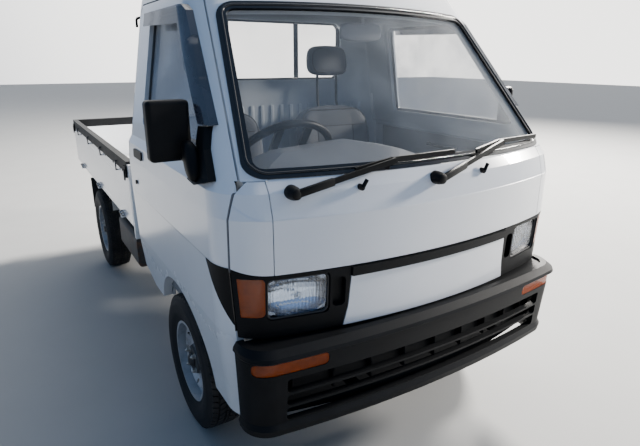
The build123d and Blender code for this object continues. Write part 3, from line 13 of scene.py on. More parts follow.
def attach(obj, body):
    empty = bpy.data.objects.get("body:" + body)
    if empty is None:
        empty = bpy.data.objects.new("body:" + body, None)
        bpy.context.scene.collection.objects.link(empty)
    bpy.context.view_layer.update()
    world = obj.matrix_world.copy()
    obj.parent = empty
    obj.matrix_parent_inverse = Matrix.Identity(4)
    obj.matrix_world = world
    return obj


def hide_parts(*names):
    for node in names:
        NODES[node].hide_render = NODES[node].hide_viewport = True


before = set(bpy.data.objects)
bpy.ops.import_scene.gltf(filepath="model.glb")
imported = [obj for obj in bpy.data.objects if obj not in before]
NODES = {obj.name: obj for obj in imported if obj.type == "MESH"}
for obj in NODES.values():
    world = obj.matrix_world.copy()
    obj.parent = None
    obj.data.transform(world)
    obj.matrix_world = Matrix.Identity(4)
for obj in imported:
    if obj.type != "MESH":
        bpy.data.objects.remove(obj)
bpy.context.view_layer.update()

bl_info = {
    "name": "Small flat-bed truck",
    "version": (1, 0, 0),
    "blender": (4, 5, 0),
    "location": "View3D > Sidebar > Truck",
    "description": "Finishes and fittings for a small forward-control truck with a drop-side bed",
    "category": "Object",
}

# Places that the frame sets, in metres
SIDES = {"l": 1.0, "r": -1.0}
AXLES_Y = {"front": -0.945, "rear": 0.955}
HUB_Z, WHEEL_X, TYRE_R = 0.268, 0.6025, 0.2680
CAB_MIDDLE = (0.0, -0.95, 1.05)
DOOR_EDGE_Y, SIDE_FOLD_Z = -1.4612, 0.853
NOSE_FOLD_X, NOSE_FOLD_Z, NOSE_FOLD_R = 0.575, 1.092, 0.100
GATE_SIDE_X, TAILGATE_Y = 0.6915, 1.6325
LAMP_X, LAMP_Z, LAMP_HALF_W, LAMP_HALF_H = 0.493, 0.755, 0.0905, 0.0625
SEAT_CENTRES_X = {"driver": -0.332, "passenger": 0.282}
BACK_Y, BACK_Z, BACK_SLOPE = -0.508, 0.944, 0.18
REST_Y, REST_Z = -0.446, 1.394
STEERING_X, STEERING_Y, STEERING_Z = -0.345, -1.150, 1.062
WIPER_Z = 1.062
ROOM_MIRROR_X = 0.0545
GUARD_Y = -0.305
DIALS_Z = 1.055
# Rows of the cab's front skin: height, y at the middle, radius of its arc
CABIN_ROWS = ((0.64, -1.590, 2.35), (0.855, -1.598, 2.35), (0.992, -1.600, 2.25), (1.06, -1.585, 2.10),
              (1.091, -1.571, 1.90), (1.590, -1.132, 1.76))

# The finish that each of the frame's own parts wears
WORN = {
    "white": "cab_shell door_l door_r", "outer_white": "nose_panels grille_panel",
    "gates": "gate_l gate_r tailgate", "deck": "bed bed_bearers", "black": "lamp_bezels bumper",
    "fittings": "wipers steering_wheel door_fittings_l door_fittings_r room_mirror",
    "guard": "gate_guard_l gate_guard_r gate_guard_tail", "lens": "headlamps", "amber": "amber_lamps",
    "screen": "windscreen", "glass": "rear_window", "door_glass": "door_glass_l door_glass_r",
    "smoke": "door_visor_l door_visor_r", "red": "rear_lamps", "lip": "windscreen_seal", "rubber": "mud_flaps",
    "mat": "cab_floor", "trim": "dashboard", "seat": "seats", "cast": "engine knuckle_l knuckle_r",
    "chassis": "frame front_suspension rear_axle fuel_tank",
    "tyre": "front_tyre_l front_tyre_r rear_tyre_l rear_tyre_r",
    "rim": "front_rim_l front_rim_r rear_rim_l rear_rim_r",
}
# The slot of each finish on a new piece
SLOTS = {
    "black_plastic": "black fittings guard dial mark mirror_shell", "cast_metal": "nut screw dark_screw",
    "chassis_black": "chassis", "glass": "mirror", "interior_grey": "white card trim",
    "lamp_glass": "lens reflector bulb", "rubber": "rubber lip", "seat_vinyl": "seat piping", "tyre": "tyre",
}
FINISHES = {}


def key_of(table):
    """Turns a table of names by key into the key of each name."""
    return {name: key for key, names in table.items() for name in names.split()}


# ---- Node trees ----


def wired(tree, kind, sockets, **settings):
    """Adds a node: first its settings, then a link or a fixed value for each socket."""
    node = tree.nodes.new(kind)
    for key, value in settings.items():
        setattr(node, key, value)
    for key, value in sockets.items():
        if isinstance(value, Value):
            value = value.socket
        elif isinstance(value, bpy.types.Node):
            value = value.outputs[0]
        if isinstance(value, bpy.types.NodeSocket):
            tree.links.new(value, node.inputs[key])
        else:
            node.inputs[key].default_value = value
    return node


class Value:
    """One shader value; arithmetic on it adds Math nodes."""

    def __init__(self, finish, socket):
        self.finish, self.socket = finish, socket

    def maths(self, operation, *others):
        return self.finish.node("ShaderNodeMath", [self, *others], operation=operation)

    __add__ = __radd__ = partialmethod(maths, "ADD")
    __mul__ = __rmul__ = partialmethod(maths, "MULTIPLY")
    __sub__ = partialmethod(maths, "SUBTRACT")
    __lt__ = partialmethod(maths, "LESS_THAN")
    __gt__ = partialmethod(maths, "GREATER_THAN")
    __abs__ = partialmethod(maths, "ABSOLUTE")

    def __rsub__(self, other):
        return self.finish.node("ShaderNodeMath", [other, self], operation="SUBTRACT")

    def clamp(self):
        return self.finish.node("ShaderNodeClamp", [self])

    def smooth(self, low, high):
        """0 below low, 1 above high and a soft step between."""
        return self.finish.node("ShaderNodeMapRange", [self, low, high, 0.0, 1.0],
                                interpolation_type="SMOOTHSTEP")


def hypotenuse(a, b):
    return (a * a + b * b).maths("SQRT")


class Finish:
    """One material with its nodes; fixed values go on the shader's own sockets."""

    def __init__(self, name, **fixed):
        self.material = bpy.data.materials.new(name)
        self.material.use_nodes = True
        self.tree = self.material.node_tree
        self.shader = next(n for n in self.tree.nodes if n.type == "BSDF_PRINCIPLED")
        for socket, value in fixed.items():
            self.shader.inputs[socket.replace("_", " ")].default_value = value
        self.place = self.node("ShaderNodeTexCoord", output="Object")
        self.normal = self.node("ShaderNodeTexCoord", output="Normal")
        self.x, self.y, self.z = self.split(self.place)

    def node(self, kind, inputs=(), output=0, **settings):
        """Adds a node; its inputs go by their order or by their names."""
        sockets = inputs if isinstance(inputs, dict) else dict(enumerate(inputs))
        return Value(self, wired(self.tree, kind, sockets, **settings).outputs[output])

    def split(self, vector):
        """The three parts of a vector."""
        parts = self.node("ShaderNodeSeparateXYZ", [vector]).socket.node.outputs
        return [Value(self, part) for part in parts]

    def noise(self, scale, detail=2.0, stretch=None, rough=0.5):
        place = self.place
        if stretch:
            place = self.node("ShaderNodeMapping", {"Vector": place, "Scale": stretch})
        return self.node("ShaderNodeTexNoise",
                         {"Vector": place, "Scale": scale, "Detail": detail, "Roughness": rough})

    def cells(self, scale):
        return self.node("ShaderNodeTexVoronoi", {"Vector": self.place, "Scale": scale}, "Distance")

    def mix(self, factor, first, second):
        """Blends two colours."""
        return self.node("ShaderNodeMix", {0: factor, 6: first, 7: second}, 2, data_type="RGBA")

    def looking_up(self, low, high):
        """How far a face looks up, as a soft step."""
        return self.split(self.normal)[2].smooth(low, high)

    def facing_in(self, middle):
        """1 on faces that look towards a middle point, such as the inside of the cab."""
        reach = self.node("ShaderNodeVectorMath", [self.place, middle], operation="SUBTRACT")
        return self.node("ShaderNodeVectorMath", [self.normal, reach], "Value", operation="DOT_PRODUCT") < 0.0

    def ripple(self, value, waves):
        """A wave along one value: this many waves a metre."""
        return (value * (waves * 2 * math.pi)).maths("SINE") * 0.5 + 0.5

    def bump(self, height, depth, strength=1.0, under=None):
        sockets = {"Height": height, "Distance": depth, "Strength": strength}
        if under:
            sockets["Normal"] = under
        made = self.node("ShaderNodeBump", sockets)
        self.tree.links.new(made.socket, self.shader.inputs["Normal"])
        return made

    def done(self, *bump, **values):
        """Links values to the shader's sockets, adds a bump and returns the material."""
        for socket, value in values.items():
            self.tree.links.new(value.socket, self.shader.inputs[socket.replace("_", " ")])
        if bump:
            self.bump(*bump)
        return self.material


def tone(colour, factor=1.0, lift=0.0):
    """A plain colour as the shader wants it, lighter or darker."""
    return (*[min(1.0, c * factor + lift) for c in colour[:3]], 1.0)


# ---- Finishes ----


def body_paint(name, colour, inside=None, dust=0.5, flecks=0.0, fold=None):
    """Sprayed enamel with a clear sheen, faint orange peel, road dust low down and a pressed fold line; painted
    shade inside the cab under the roof and in the seam at the door's front edge.
    """
    f = Finish(name, Roughness=0.3, Coat_Roughness=0.06, Coat_IOR=1.45)
    cloud, fine = f.noise(2.6, 3.0), f.noise(38.0, 4.0)
    base = f.mix(cloud.smooth(0.3, 0.75), tone(colour, 0.965), tone(colour, 1.02))
    low = (1.0 - (f.z + (cloud - 0.5) * 0.25).smooth(0.28, 0.72)) * dust
    base = f.mix((low * (0.2 + fine * 0.5)).clamp(), base, (0.34, 0.31, 0.26, 1))
    rough = 0.22 + fine * 0.05 + low * 0.3
    coat = 0.9 - low * 0.6
    if flecks:
        scratch = f.noise(46.0, 3.0, (1.0, 0.03, 1.0)).smooth(0.66, 0.74) * flecks
        proud = ((abs(f.x) > GATE_SIDE_X) + (f.y > TAILGATE_Y)).clamp()
        base = f.mix(scratch, base, tone(colour, 0.62))
        base = f.mix(proud, base, (0.07, 0.07, 0.072, 1))
        rough = rough + scratch * 0.2
        coat = coat * (1.0 - proud)
    if inside:
        inward = f.facing_in(CAB_MIDDLE)
        # Inside faces above 1.55 m go to 0.35 of the inside colour: painted shade under the roof, standing in
        # too for the dark header lining and folded sun visors.
        base = f.mix(inward, base, f.mix(f.z.smooth(1.55, 1.60), inside, tone(inside, 0.35)))
        coat = coat * (1.0 - inward)
        rough = rough + inward * 0.25
    if fold == "side":
        # Faces in front of the door edge, 0.655 to 1.085 m up, are painted near black low down and dark grey
        # higher up: painted shade in the seam, standing in too for a black weatherstrip.
        lip = (f.y < DOOR_EDGE_Y) * (abs(f.x) > 0.62) * (f.z > 0.655) * (f.z < 1.085)
        seam_shade_and_strip = f.mix(f.z.smooth(0.835, 0.855), (0.012, 0.012, 0.013, 1), (0.16, 0.17, 0.19, 1))
        base = f.mix(lip, base, seam_shade_and_strip)
        coat = coat * (1.0 - lip)
    skin = f.bump(f.noise(120.0, 1.0) * 0.5 + cloud * 3.0, 0.0004, 0.12)
    if fold == "nose":
        out = (abs(f.x) - NOSE_FOLD_X).maths("MAXIMUM", 0.0)
        down = (NOSE_FOLD_Z - f.z).maths("MAXIMUM", 0.0)
        f.bump((hypotenuse(out, down) - NOSE_FOLD_R).smooth(-0.0035, 0.0035), 0.0016, 1.0, skin)
    elif fold == "side":
        f.bump((f.z - SIDE_FOLD_Z).smooth(-0.003, 0.003), 0.0014, 1.0, skin)
    return f.done(Base_Color=base, Roughness=rough.clamp(), Coat_Weight=coat.clamp())


def bed_enamel(name, colour):
    """The bed's enamel, scuffed and dusty on its deck, with a black guard frame above."""
    f = Finish(name, Coat_Roughness=0.1)
    cloud, fine = f.noise(2.2, 4.0), f.noise(34.0, 4.0)
    up = f.looking_up(0.6, 0.95)
    scuff = f.noise(26.0, 4.0, (1.0, 0.06, 1.0)).smooth(0.58, 0.70) * up
    base = f.mix(cloud, tone(colour, 0.94), tone(colour, 1.03))
    base = f.mix((scuff * 0.45 + up * fine * 0.12).clamp(), base, (0.46, 0.44, 0.40, 1))
    low = 1.0 - (f.z + (fine - 0.5) * 0.2).smooth(0.50, 0.68)
    base = f.mix(low * 0.55, base, (0.20, 0.18, 0.15, 1))
    guard = (f.z > 0.944) * (f.y < -0.27)
    return f.done(f.noise(150.0, 3.0) + cloud * 4.0, 0.0008, 0.25,
                  Base_Color=f.mix(guard, base, (0.010, 0.011, 0.012, 1)),
                  Roughness=(0.34 + fine * 0.16 + scuff * 0.2 + low * 0.25).clamp(),
                  Coat_Weight=(0.5 - low * 0.5 - scuff * 0.4).clamp())


def moulded_plastic(name, colour, grain=1500.0, gloss=0.45, fade=0.001):
    """Grained moulding, greyed by the sun on the faces that look up."""
    f = Finish(name, Specular_IOR_Level=0.14)
    up = f.looking_up(0.1, 0.95)
    worn = f.noise(14.0, 4.0)
    plain = f.mix(worn.smooth(0.3, 0.8), tone(colour, 0.8), tone(colour, 1.3))
    return f.done(f.cells(grain), 0.0002, 0.25, Roughness=(gloss + worn * 0.12 + up * 0.05).clamp(),
                  Base_Color=f.mix((up * (0.4 + worn * 0.6)).clamp(), plain, tone(colour, lift=fade)))


def hard_rubber(name, colour, gloss=0.34):
    """Weather-strip rubber with a thin grey bloom."""
    f = Finish(name)
    bloom = f.noise(22.0, 5.0)
    return f.done(f.noise(700.0, 2.0), 0.0003, 0.25, Roughness=gloss + bloom * 0.12,
                  Base_Color=f.mix(bloom.smooth(0.45, 0.8), tone(colour), tone(colour, lift=0.008)))


def from_axle(f):
    """How far a point lies from its own wheel's axle."""
    y_axle = (f.y > 0.0) * (AXLES_Y["rear"] - AXLES_Y["front"]) + AXLES_Y["front"]
    return hypotenuse(f.y - y_axle, f.z - HUB_Z)


def tyre_rubber(name, colour):
    """Tyre rubber: fine moulding rings on the wall, dry dust in the tread and on the shoulders."""
    f = Finish(name, Specular_IOR_Level=0.25)
    radius = from_axle(f)
    wall = 1.0 - radius.smooth(0.246, 0.256)
    dirt = f.noise(9.0, 5.0)
    dust = (radius.smooth(0.225, 0.266) * dirt.smooth(0.35, 0.75)).clamp()
    plain = f.mix(dirt, tone(colour, 0.7), tone(colour, 1.2))
    return f.done(f.ripple(radius, 420.0) * wall + f.noise(320.0, 3.0) * 0.6, 0.0006, 0.35,
                  Base_Color=f.mix(dust * 0.35, plain, (0.09, 0.08, 0.068, 1)),
                  Roughness=(0.62 + dirt * 0.18 + dust * 0.1).clamp())


def rim_steel(name, colour):
    """Silver wheel paint with brake dust, darker round the hub and in the well."""
    f = Finish(name)
    grime = f.noise(30.0, 5.0)
    hub = 1.0 - (from_axle(f) + (grime - 0.5) * 0.012).smooth(0.056, 0.064)
    base = f.mix((grime.smooth(0.45, 0.85) * 0.6).clamp(), tone(colour), (0.16, 0.13, 0.105, 1))
    return f.done(f.noise(260.0, 3.0), 0.0004, 0.3, Base_Color=f.mix(hub, base, (0.045, 0.043, 0.042, 1)),
                  Roughness=(0.34 + grime * 0.3 + hub * 0.15).clamp(), Metallic=0.6 - hub * 0.5)


def window_glass(name, tint_and_painted_reflection, dust_and_painted_reflection):
    """Window glass: clear face on, glossier at a glance, with a thin film of dust; on the door glass a pale
    blue tone shown through a denser film is a painted sky reflection.
    """
    f = Finish(name, IOR=1.5, Specular_IOR_Level=0.8)
    dust = f.noise(7.0, 5.0).smooth(0.35, 0.9)
    facing = f.node("ShaderNodeLayerWeight", {"Blend": 0.5}, "Facing")
    glance = facing.maths("POWER", 5.0) * 0.9 + 0.03
    return f.done(Base_Color=f.mix(dust * 0.5, tone(tint_and_painted_reflection, 0.8), tone(tint_and_painted_reflection, 1.25)),
                  Roughness=0.015 + dust * 0.03,
                  Alpha=(dust * dust_and_painted_reflection * 0.8 + glance * (1.0 - dust_and_painted_reflection) + dust_and_painted_reflection * 0.6).clamp())


def ribbed_lens(name, clear, across, up=0.0, transmission=1.0, deep=None, coat=0.6):
    """A moulded lamp lens with fine flutes, clear or coloured through."""
    f = Finish(name, Transmission_Weight=transmission, IOR=1.47, Coat_Weight=coat)
    deep = deep or clear
    shade = f.noise(24.0, 3.0)
    flute = f.ripple(f.x, across)
    base = f.mix(shade.smooth(0.3, 0.8), tone(clear), tone(deep, 0.92))
    return f.done(flute + (f.ripple(f.z, up) * 0.5 if up else 0.0), 0.0016, 0.7,
                  Base_Color=f.mix(flute * 0.25, base, tone(deep, 0.8)), Roughness=0.05 + shade * 0.06)


def bright_reflector(name):
    """Vacuum-bright reflector, faintly mottled and darker towards its rim."""
    f = Finish(name, Metallic=1.0)
    mottle = f.noise(40.0, 3.0)
    out, rise = (abs(f.x) - LAMP_X) * 11.0, (f.z - LAMP_Z) * 16.0
    bright = f.mix(mottle, (0.72, 0.77, 0.84, 1), (0.90, 0.93, 0.97, 1))
    rim = (out * out + rise * rise).smooth(0.35, 1.1)
    return f.done(f.ripple(f.z, 60.0) + f.ripple(f.x, 45.0), 0.002, 0.25, Roughness=0.06 + mottle * 0.1,
                  Base_Color=f.mix(rim, bright, (0.24, 0.26, 0.30, 1)))


def mirror_silver(name):
    """Mirror silver under glass."""
    f = Finish(name, Metallic=1.0)
    haze = f.noise(12.0, 3.0)
    return f.done(Base_Color=f.mix(haze, (0.84, 0.86, 0.87, 1), (0.90, 0.91, 0.92, 1)),
                  Roughness=0.02 + haze * 0.03)


def raw_metal(name, colour, rust, gloss, metal):
    """Bare or thinly painted steel, with oil and rust."""
    f = Finish(name)
    patch, speck = f.noise(11.0, 6.0, rough=0.6), f.noise(90.0, 4.0)
    rusty = (patch * 0.7 + speck * 0.3).smooth(0.50, 0.66) * rust
    base = f.mix(patch, tone(colour, 0.75), tone(colour, 1.25))
    return f.done(speck + patch * 2.0, 0.0006, 0.35, Base_Color=f.mix(rusty, base, (0.17, 0.075, 0.035, 1)),
                  Roughness=(gloss + patch * 0.2 + rusty * 0.25).clamp(),
                  Metallic=(metal - rusty * metal).clamp())


def cabin_trim(name, colour, grain=900.0):
    """Grained cabin moulding, slightly shiny where hands and shoes rub it."""
    f = Finish(name)
    rub = f.noise(6.0, 4.0)
    return f.done(f.cells(grain), 0.0005, 0.45, Roughness=0.5 + rub * 0.2,
                  Base_Color=f.mix(rub.smooth(0.3, 0.8), tone(colour, 0.86), tone(colour, 1.1)))


def seat_cover(name, colour):
    """Grained seat vinyl with a woven look in its middle panels."""
    f = Finish(name, Sheen_Weight=0.15)
    wear = f.noise(5.0, 4.0)
    weave = f.ripple(f.x + f.y * 0.35, 240.0) * f.ripple(f.z + f.y, 240.0)
    base = f.mix(wear.smooth(0.3, 0.8), tone(colour, 0.85), tone(colour, 1.12))
    return f.done(weave + f.cells(700.0), 0.0006, 0.5, Base_Color=f.mix(weave * 0.25, base, tone(colour, 0.6)),
                  Roughness=0.55 + wear * 0.15)


def studio_floor(name):
    """The pale studio floor."""
    f = Finish(name, Specular_IOR_Level=0.2)
    grain = f.noise(3.0, 4.0)
    return f.done(Base_Color=f.mix(grain, (0.29, 0.29, 0.285, 1), (0.33, 0.33, 0.325, 1)),
                  Roughness=0.75 + grain * 0.1)


# ---- Meshes ----


def new_object(name, data):
    made = bpy.data.objects.new(name, data)
    bpy.context.scene.collection.objects.link(made)
    return made


def piece(name, mesh, finish, body="chassis", replaced=None, smooth=38):
    """A finished piece, of one mesh or several, with its material, shading and body."""
    if isinstance(mesh, list):
        mesh = join(mesh)
    made = new_object(name, mesh)
    mesh.materials.clear()
    mesh.materials.append(FINISHES[finish])
    mesh.shade_smooth()
    mesh.set_sharp_from_angle(angle=math.radians(smooth))
    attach(made, body)
    key_of(SLOTS)[finish]
    if replaced:
        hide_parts(replaced)
    return made


def mesh_of(bm):
    """Ends a bmesh in a plain mesh."""
    mesh = bpy.data.meshes.new("shape")
    bm.to_mesh(mesh)
    bm.free()
    return mesh


def baked(obj):
    """An object's mesh with its modifiers applied; the object goes."""
    mesh = bpy.data.meshes.new_from_object(obj.evaluated_get(bpy.context.evaluated_depsgraph_get()))
    bpy.data.objects.remove(obj)
    return mesh


def mesh_from(verts, faces, merge=1e-5):
    """A mesh from corners and faces, its doubles merged and its faces turned outwards."""
    raw = bpy.data.meshes.new("raw")
    raw.from_pydata([tuple(v) for v in verts], [], [tuple(f) for f in faces])
    bm = bmesh.new()
    bm.from_mesh(raw)
    bmesh.ops.remove_doubles(bm, verts=bm.verts, dist=merge)
    bmesh.ops.recalc_face_normals(bm, faces=bm.faces)
    bpy.data.meshes.remove(raw)
    return mesh_of(bm)


def lathe(profile, steps, side=1.0, merge=1e-4):
    """A closed profile (out along the axle, radius) turned about an axle along X."""
    turns = [2 * math.pi * i / steps for i in range(steps)]
    verts = [(side * out, radius * math.cos(turn), radius * math.sin(turn))
             for turn in turns for out, radius in profile]
    return mesh_from(verts, ring_faces(steps, len(profile)), merge)


def ring_faces(around, across):
    """The faces of a closed ring of closed rows."""
    faces = []
    for i in range(around):
        for j in range(across):
            k, ahead = (j + 1) % across, (i + 1) % around * across
            faces.append((i * across + j, i * across + k, ahead + k, ahead + j))
    return faces


def rounded_block(size, centre, radius, steps=3):
    """A box with soft edges."""
    bm = bmesh.new()
    bmesh.ops.create_cube(bm, size=1.0)
    bmesh.ops.scale(bm, vec=size, verts=bm.verts)
    bmesh.ops.bevel(bm, geom=bm.edges[:], offset=radius, segments=steps, profile=0.5, affect="EDGES",
                    clamp_overlap=True)
    bmesh.ops.translate(bm, vec=centre, verts=bm.verts)
    return mesh_of(bm)


def join(meshes):
    """One mesh from several."""
    bm = bmesh.new()
    for mesh in meshes:
        bm.from_mesh(mesh)
        bpy.data.meshes.remove(mesh)
    return mesh_of(bm)


def tube(points, radius, closed=False, steps=4):
    """A round tube along smooth points, as a mesh."""
    curve = bpy.data.curves.new("tube", "CURVE")
    curve.dimensions, curve.bevel_depth, curve.bevel_resolution = "3D", radius, steps
    curve.use_fill_caps = not closed
    spline = curve.splines.new("POLY")
    spline.points.add(len(points) - 1)
    for point, place in zip(spline.points, points):
        point.co = (*place, 1.0)
    spline.use_cyclic_u = closed
    mesh = baked(new_object("tube", curve))
    bpy.data.curves.remove(curve)
    return mesh


def bar(start, end, wide, high, radius):
    """A rounded bar from one point to another, as a mesh."""
    mesh = rounded_block((wide, high, (end - start).length), (0, 0, 0), radius, 2)
    turn = (end - start).to_track_quat("Z", "Y").to_matrix().to_4x4()
    mesh.transform(Matrix.Translation((start + end) / 2) @ turn)
    return mesh


def cones(rows):
    """Cones stacked along Z, each with its sides, its radii and its ends."""
    bm = bmesh.new()
    for sides, low_r, top_r, low, high in rows:
        made = bmesh.ops.create_cone(bm, cap_ends=True, segments=sides, radius1=low_r, radius2=top_r,
                                     depth=high - low)
        bmesh.ops.translate(bm, vec=(0, 0, (low + high) / 2), verts=made["verts"])
    return mesh_of(bm)


def screw_head(radius, height, axis, way=1.0):
    """A domed hexagon head with a washer under it."""
    washer = radius * 1.35
    mesh = cones(((18, washer, washer, 0.0, height * 0.28), (6, radius, radius * 0.82, height * 0.2, height)))
    turn = Euler((0, way * math.pi / 2, 0) if axis == "X" else (-way * math.pi / 2, 0, 0))
    mesh.transform(turn.to_matrix().to_4x4())
    return mesh


def rounded_loop(half_w, half_h, corner, per_corner=8):
    """Points round a rectangle with round corners, about the origin."""
    points = []
    for cx, cy, start in ((1, 1, 0), (-1, 1, 90), (-1, -1, 180), (1, -1, 270)):
        for i in range(per_corner + 1):
            a = math.radians(start + 90 * i / per_corner)
            points.append((cx * (half_w - corner) + corner * math.cos(a),
                           cy * (half_h - corner) + corner * math.sin(a)))
    return points


def rounded_outline(corners, radius, per_corner=5, per_side=10):
    """Points round a polygon whose corners are rounded, evenly set along its sides."""
    points, count = [], len(corners)
    for i in range(count):
        before, at, after, beyond = (Vector(corners[j % count]) for j in (i - 1, i, i + 1, i + 2))
        a, b = (before - at).normalized(), (after - at).normalized()
        half = a.angle(b) / 2
        reach = radius / math.tan(half)
        start, end = at + a * reach, at + b * reach
        hub = at + (a + b).normalized() * (radius / math.sin(half))
        for k in range(per_corner + 1):
            points.append(hub + (start - hub).lerp(end - hub, k / per_corner).normalized() * radius)
        c, d = (at - after).normalized(), (beyond - after).normalized()
        goal = after + c * (radius / math.tan(c.angle(d) / 2))
        points += [end.lerp(goal, k / per_side) for k in range(1, per_side)]
    return points


def spread(start, run, steps):
    """Values evenly set along a run."""
    return [start + run * i / steps for i in range(steps + 1)]


def between(front, back):
    """A closed sheet between two grids of points."""
    high, wide = len(front), len(front[0])
    verts = [p for grid in (front, back) for row in grid for p in row]
    base, faces = high * wide, []
    for i in range(high - 1):
        for j in range(wide - 1):
            a = i * wide + j
            b, c, d = a + 1, a + wide + 1, a + wide
            faces += [(a, b, c, d), (base + d, base + c, base + b, base + a)]
    edge = [(0, j) for j in range(wide)] + [(i, wide - 1) for i in range(1, high)]
    edge += [(high - 1, j) for j in range(wide - 2, -1, -1)] + [(i, 0) for i in range(high - 2, 0, -1)]
    loop = [i * wide + j for i, j in edge]
    faces += [(a, b, base + b, base + a) for a, b in zip(loop, loop[1:] + loop[:1])]
    return mesh_from(verts, faces)


def panel(rows, thick, way):
    """A closed sheet through a grid of points, thickened one way."""
    reach = Vector(way) * thick
    return between(rows, [[Vector(p) + reach for p in row] for row in rows])


def surface_of(mesh):
    """A tree of a mesh's faces that rays can be sent to."""
    return BVHTree.FromPolygons([v.co.copy() for v in mesh.vertices], [list(p.vertices) for p in mesh.polygons])


def met(surface, start, way, what):
    """Where a ray meets a surface that it has to meet."""
    hit = surface.ray_cast(Vector(start), Vector(way))[0]
    if hit is None:
        raise RuntimeError(f"{what} found nothing to lie on")
    return hit


def laid_on(surface, starts, way, lift=0.0):
    """Where rays from the starts meet a surface, drawn back by the lift."""
    way = Vector(way)
    hits = [surface.ray_cast(Vector(start), way)[0] for start in starts]
    return [hit - way * lift for hit in hits if hit is not None]


def nose_y(x, z):
    """The y of the cab's front skin."""
    for (z0, n0, r0), (z1, n1, r1) in zip(CABIN_ROWS, CABIN_ROWS[1:]):
        if z <= z1:
            t = max(0.0, (z - z0) / (z1 - z0))
            nose, radius = n0 + t * (n1 - n0), r0 + t * (r1 - r0)
            return nose + radius - math.sqrt(radius * radius - x * x)
    return CABIN_ROWS[-1][1]


def wheel_places():
    """The name, side and matrix of each wheel, turned to face outwards."""
    for place, y in AXLES_Y.items():
        for side, way in SIDES.items():
            turn = Matrix.Rotation(0 if way > 0 else math.pi, 4, "Z")
            yield place, side, Matrix.Translation((way * WHEEL_X, y, HUB_Z)) @ turn


def copy_at(mesh, matrix):
    copy = mesh.copy()
    copy.transform(matrix)
    return copy


# ---- Repeated items, by geometry nodes ----


def new_tree(name, **inputs):
    """An empty tree for a modifier, and the sockets of its inputs."""
    tree = bpy.data.node_groups.new(name, "GeometryNodeTree")
    tree.is_modifier = True
    for way in ("INPUT", "OUTPUT"):
        tree.interface.new_socket("Geometry", in_out=way, socket_type="NodeSocketGeometry")
    for label, kind in {"Item": "Object", "Count": "Int", "Finish": "Material", **inputs}.items():
        tree.interface.new_socket(label, in_out="INPUT", socket_type="NodeSocket" + kind)
    return tree, tree.nodes.new("NodeGroupInput").outputs


def end_tree(tree, given, instances):
    """Ends a tree in Realize Instances and Set Material."""
    real = wired(tree, "GeometryNodeRealizeInstances", {0: instances})
    paint = wired(tree, "GeometryNodeSetMaterial", {"Geometry": real, "Material": given["Finish"]})
    wired(tree, "NodeGroupOutput", {0: paint})
    return tree


def copies_on(tree, given, points, **more):
    """The item's copies on points."""
    item = wired(tree, "GeometryNodeObjectInfo", {"Object": given["Item"]})
    sockets = {"Points": points, "Instance": item.outputs["Geometry"], **more}
    return wired(tree, "GeometryNodeInstanceOnPoints", sockets)


def ring_tree():
    """Copies of an item set round an axle along X."""
    tree, given = new_tree("Ring about an axle", Radius="Float", Start="Float", Centre="Vector")
    circle = wired(tree, "GeometryNodeMeshCircle", {"Vertices": given["Count"], "Radius": given["Radius"]})
    index = wired(tree, "GeometryNodeInputIndex", {})
    share = wired(tree, "ShaderNodeMath", {0: index, 1: given["Count"]}, operation="DIVIDE")
    angle = wired(tree, "ShaderNodeMath", {0: share, 1: 2 * math.pi}, operation="MULTIPLY")
    copies = copies_on(tree, given, circle, Rotation=wired(tree, "ShaderNodeCombineXYZ", {"Z": angle}))
    lay = wired(tree, "ShaderNodeCombineXYZ", {"Z": given["Start"]})
    spin = wired(tree, "GeometryNodeTransform", {"Geometry": copies, "Rotation": lay})
    return end_tree(tree, given, wired(tree, "GeometryNodeTransform", {
        "Geometry": spin, "Translation": given["Centre"], "Rotation": (0, math.pi / 2, 0)}))


def row_tree():
    """Copies of an item along a straight row."""
    tree, given = new_tree("Straight row", First="Vector", Step="Vector")
    line = wired(tree, "GeometryNodeMeshLine", {
        "Count": given["Count"], "Start Location": given["First"], "Offset": given["Step"]})
    return end_tree(tree, given, copies_on(tree, given, line))


def run_tree(tree, values):
    """Runs a tree with its inputs set by their identifiers, and returns the result as a plain mesh."""
    holder = new_object("tree", bpy.data.meshes.new("tree"))
    modifier = holder.modifiers.new("Tree", "NODES")
    modifier.node_group = tree
    known = {s.name: s.identifier for s in tree.interface.items_tree if s.in_out == "INPUT"}
    for label, value in values.items():
        modifier[known[label]] = value
    holder.update_tag()
    bpy.context.view_layer.update()
    return baked(holder)


def copies_of(mesh, tree, finish, runs):
    """One mesh of an item's copies, with a run of the tree for each set of inputs."""
    source = new_object("item", mesh)
    bpy.context.view_layer.update()
    made = [run_tree(tree, {"Item": source, "Finish": FINISHES[finish], **values}) for values in runs]
    bpy.data.objects.remove(source)
    return join(made)


def ring_of(mesh, finish, count, radius, start=0.0, out=0.0):
    """A ring of copies about an axle along X, out along it from the origin."""
    values = {"Count": count, "Radius": radius, "Start": start, "Centre": (out, 0.0, 0.0)}
    return copies_of(mesh, ring_tree(), finish, [values])


def rows_of(mesh, finish, runs):
    """A row of copies for each run of (count, first, step)."""
    return copies_of(mesh, row_tree(), finish,
                     [{"Count": count, "First": first, "Step": step} for count, first, step in runs])


# ---- Padding ----


def soft_form(half, middle, power=5.0, cuts=9, shape=None):
    """A closed cushion form: a cube drawn towards a rounded block, then shaped."""
    bm = bmesh.new()
    bmesh.ops.create_cube(bm, size=2.0)
    bmesh.ops.subdivide_edges(bm, edges=bm.edges[:], cuts=cuts, use_grid_fill=True)
    for v in bm.verts:
        size = sum(abs(c) ** power for c in v.co) ** (1 / power)
        place = Vector([c / size for c in v.co])
        v.co = Vector([c * h for c, h in zip(place, half)])
        if shape:
            v.co = Vector(shape(*v.co))
        v.co += Vector(middle)
    bmesh.ops.recalc_face_normals(bm, faces=bm.faces)
    return mesh_of(bm)


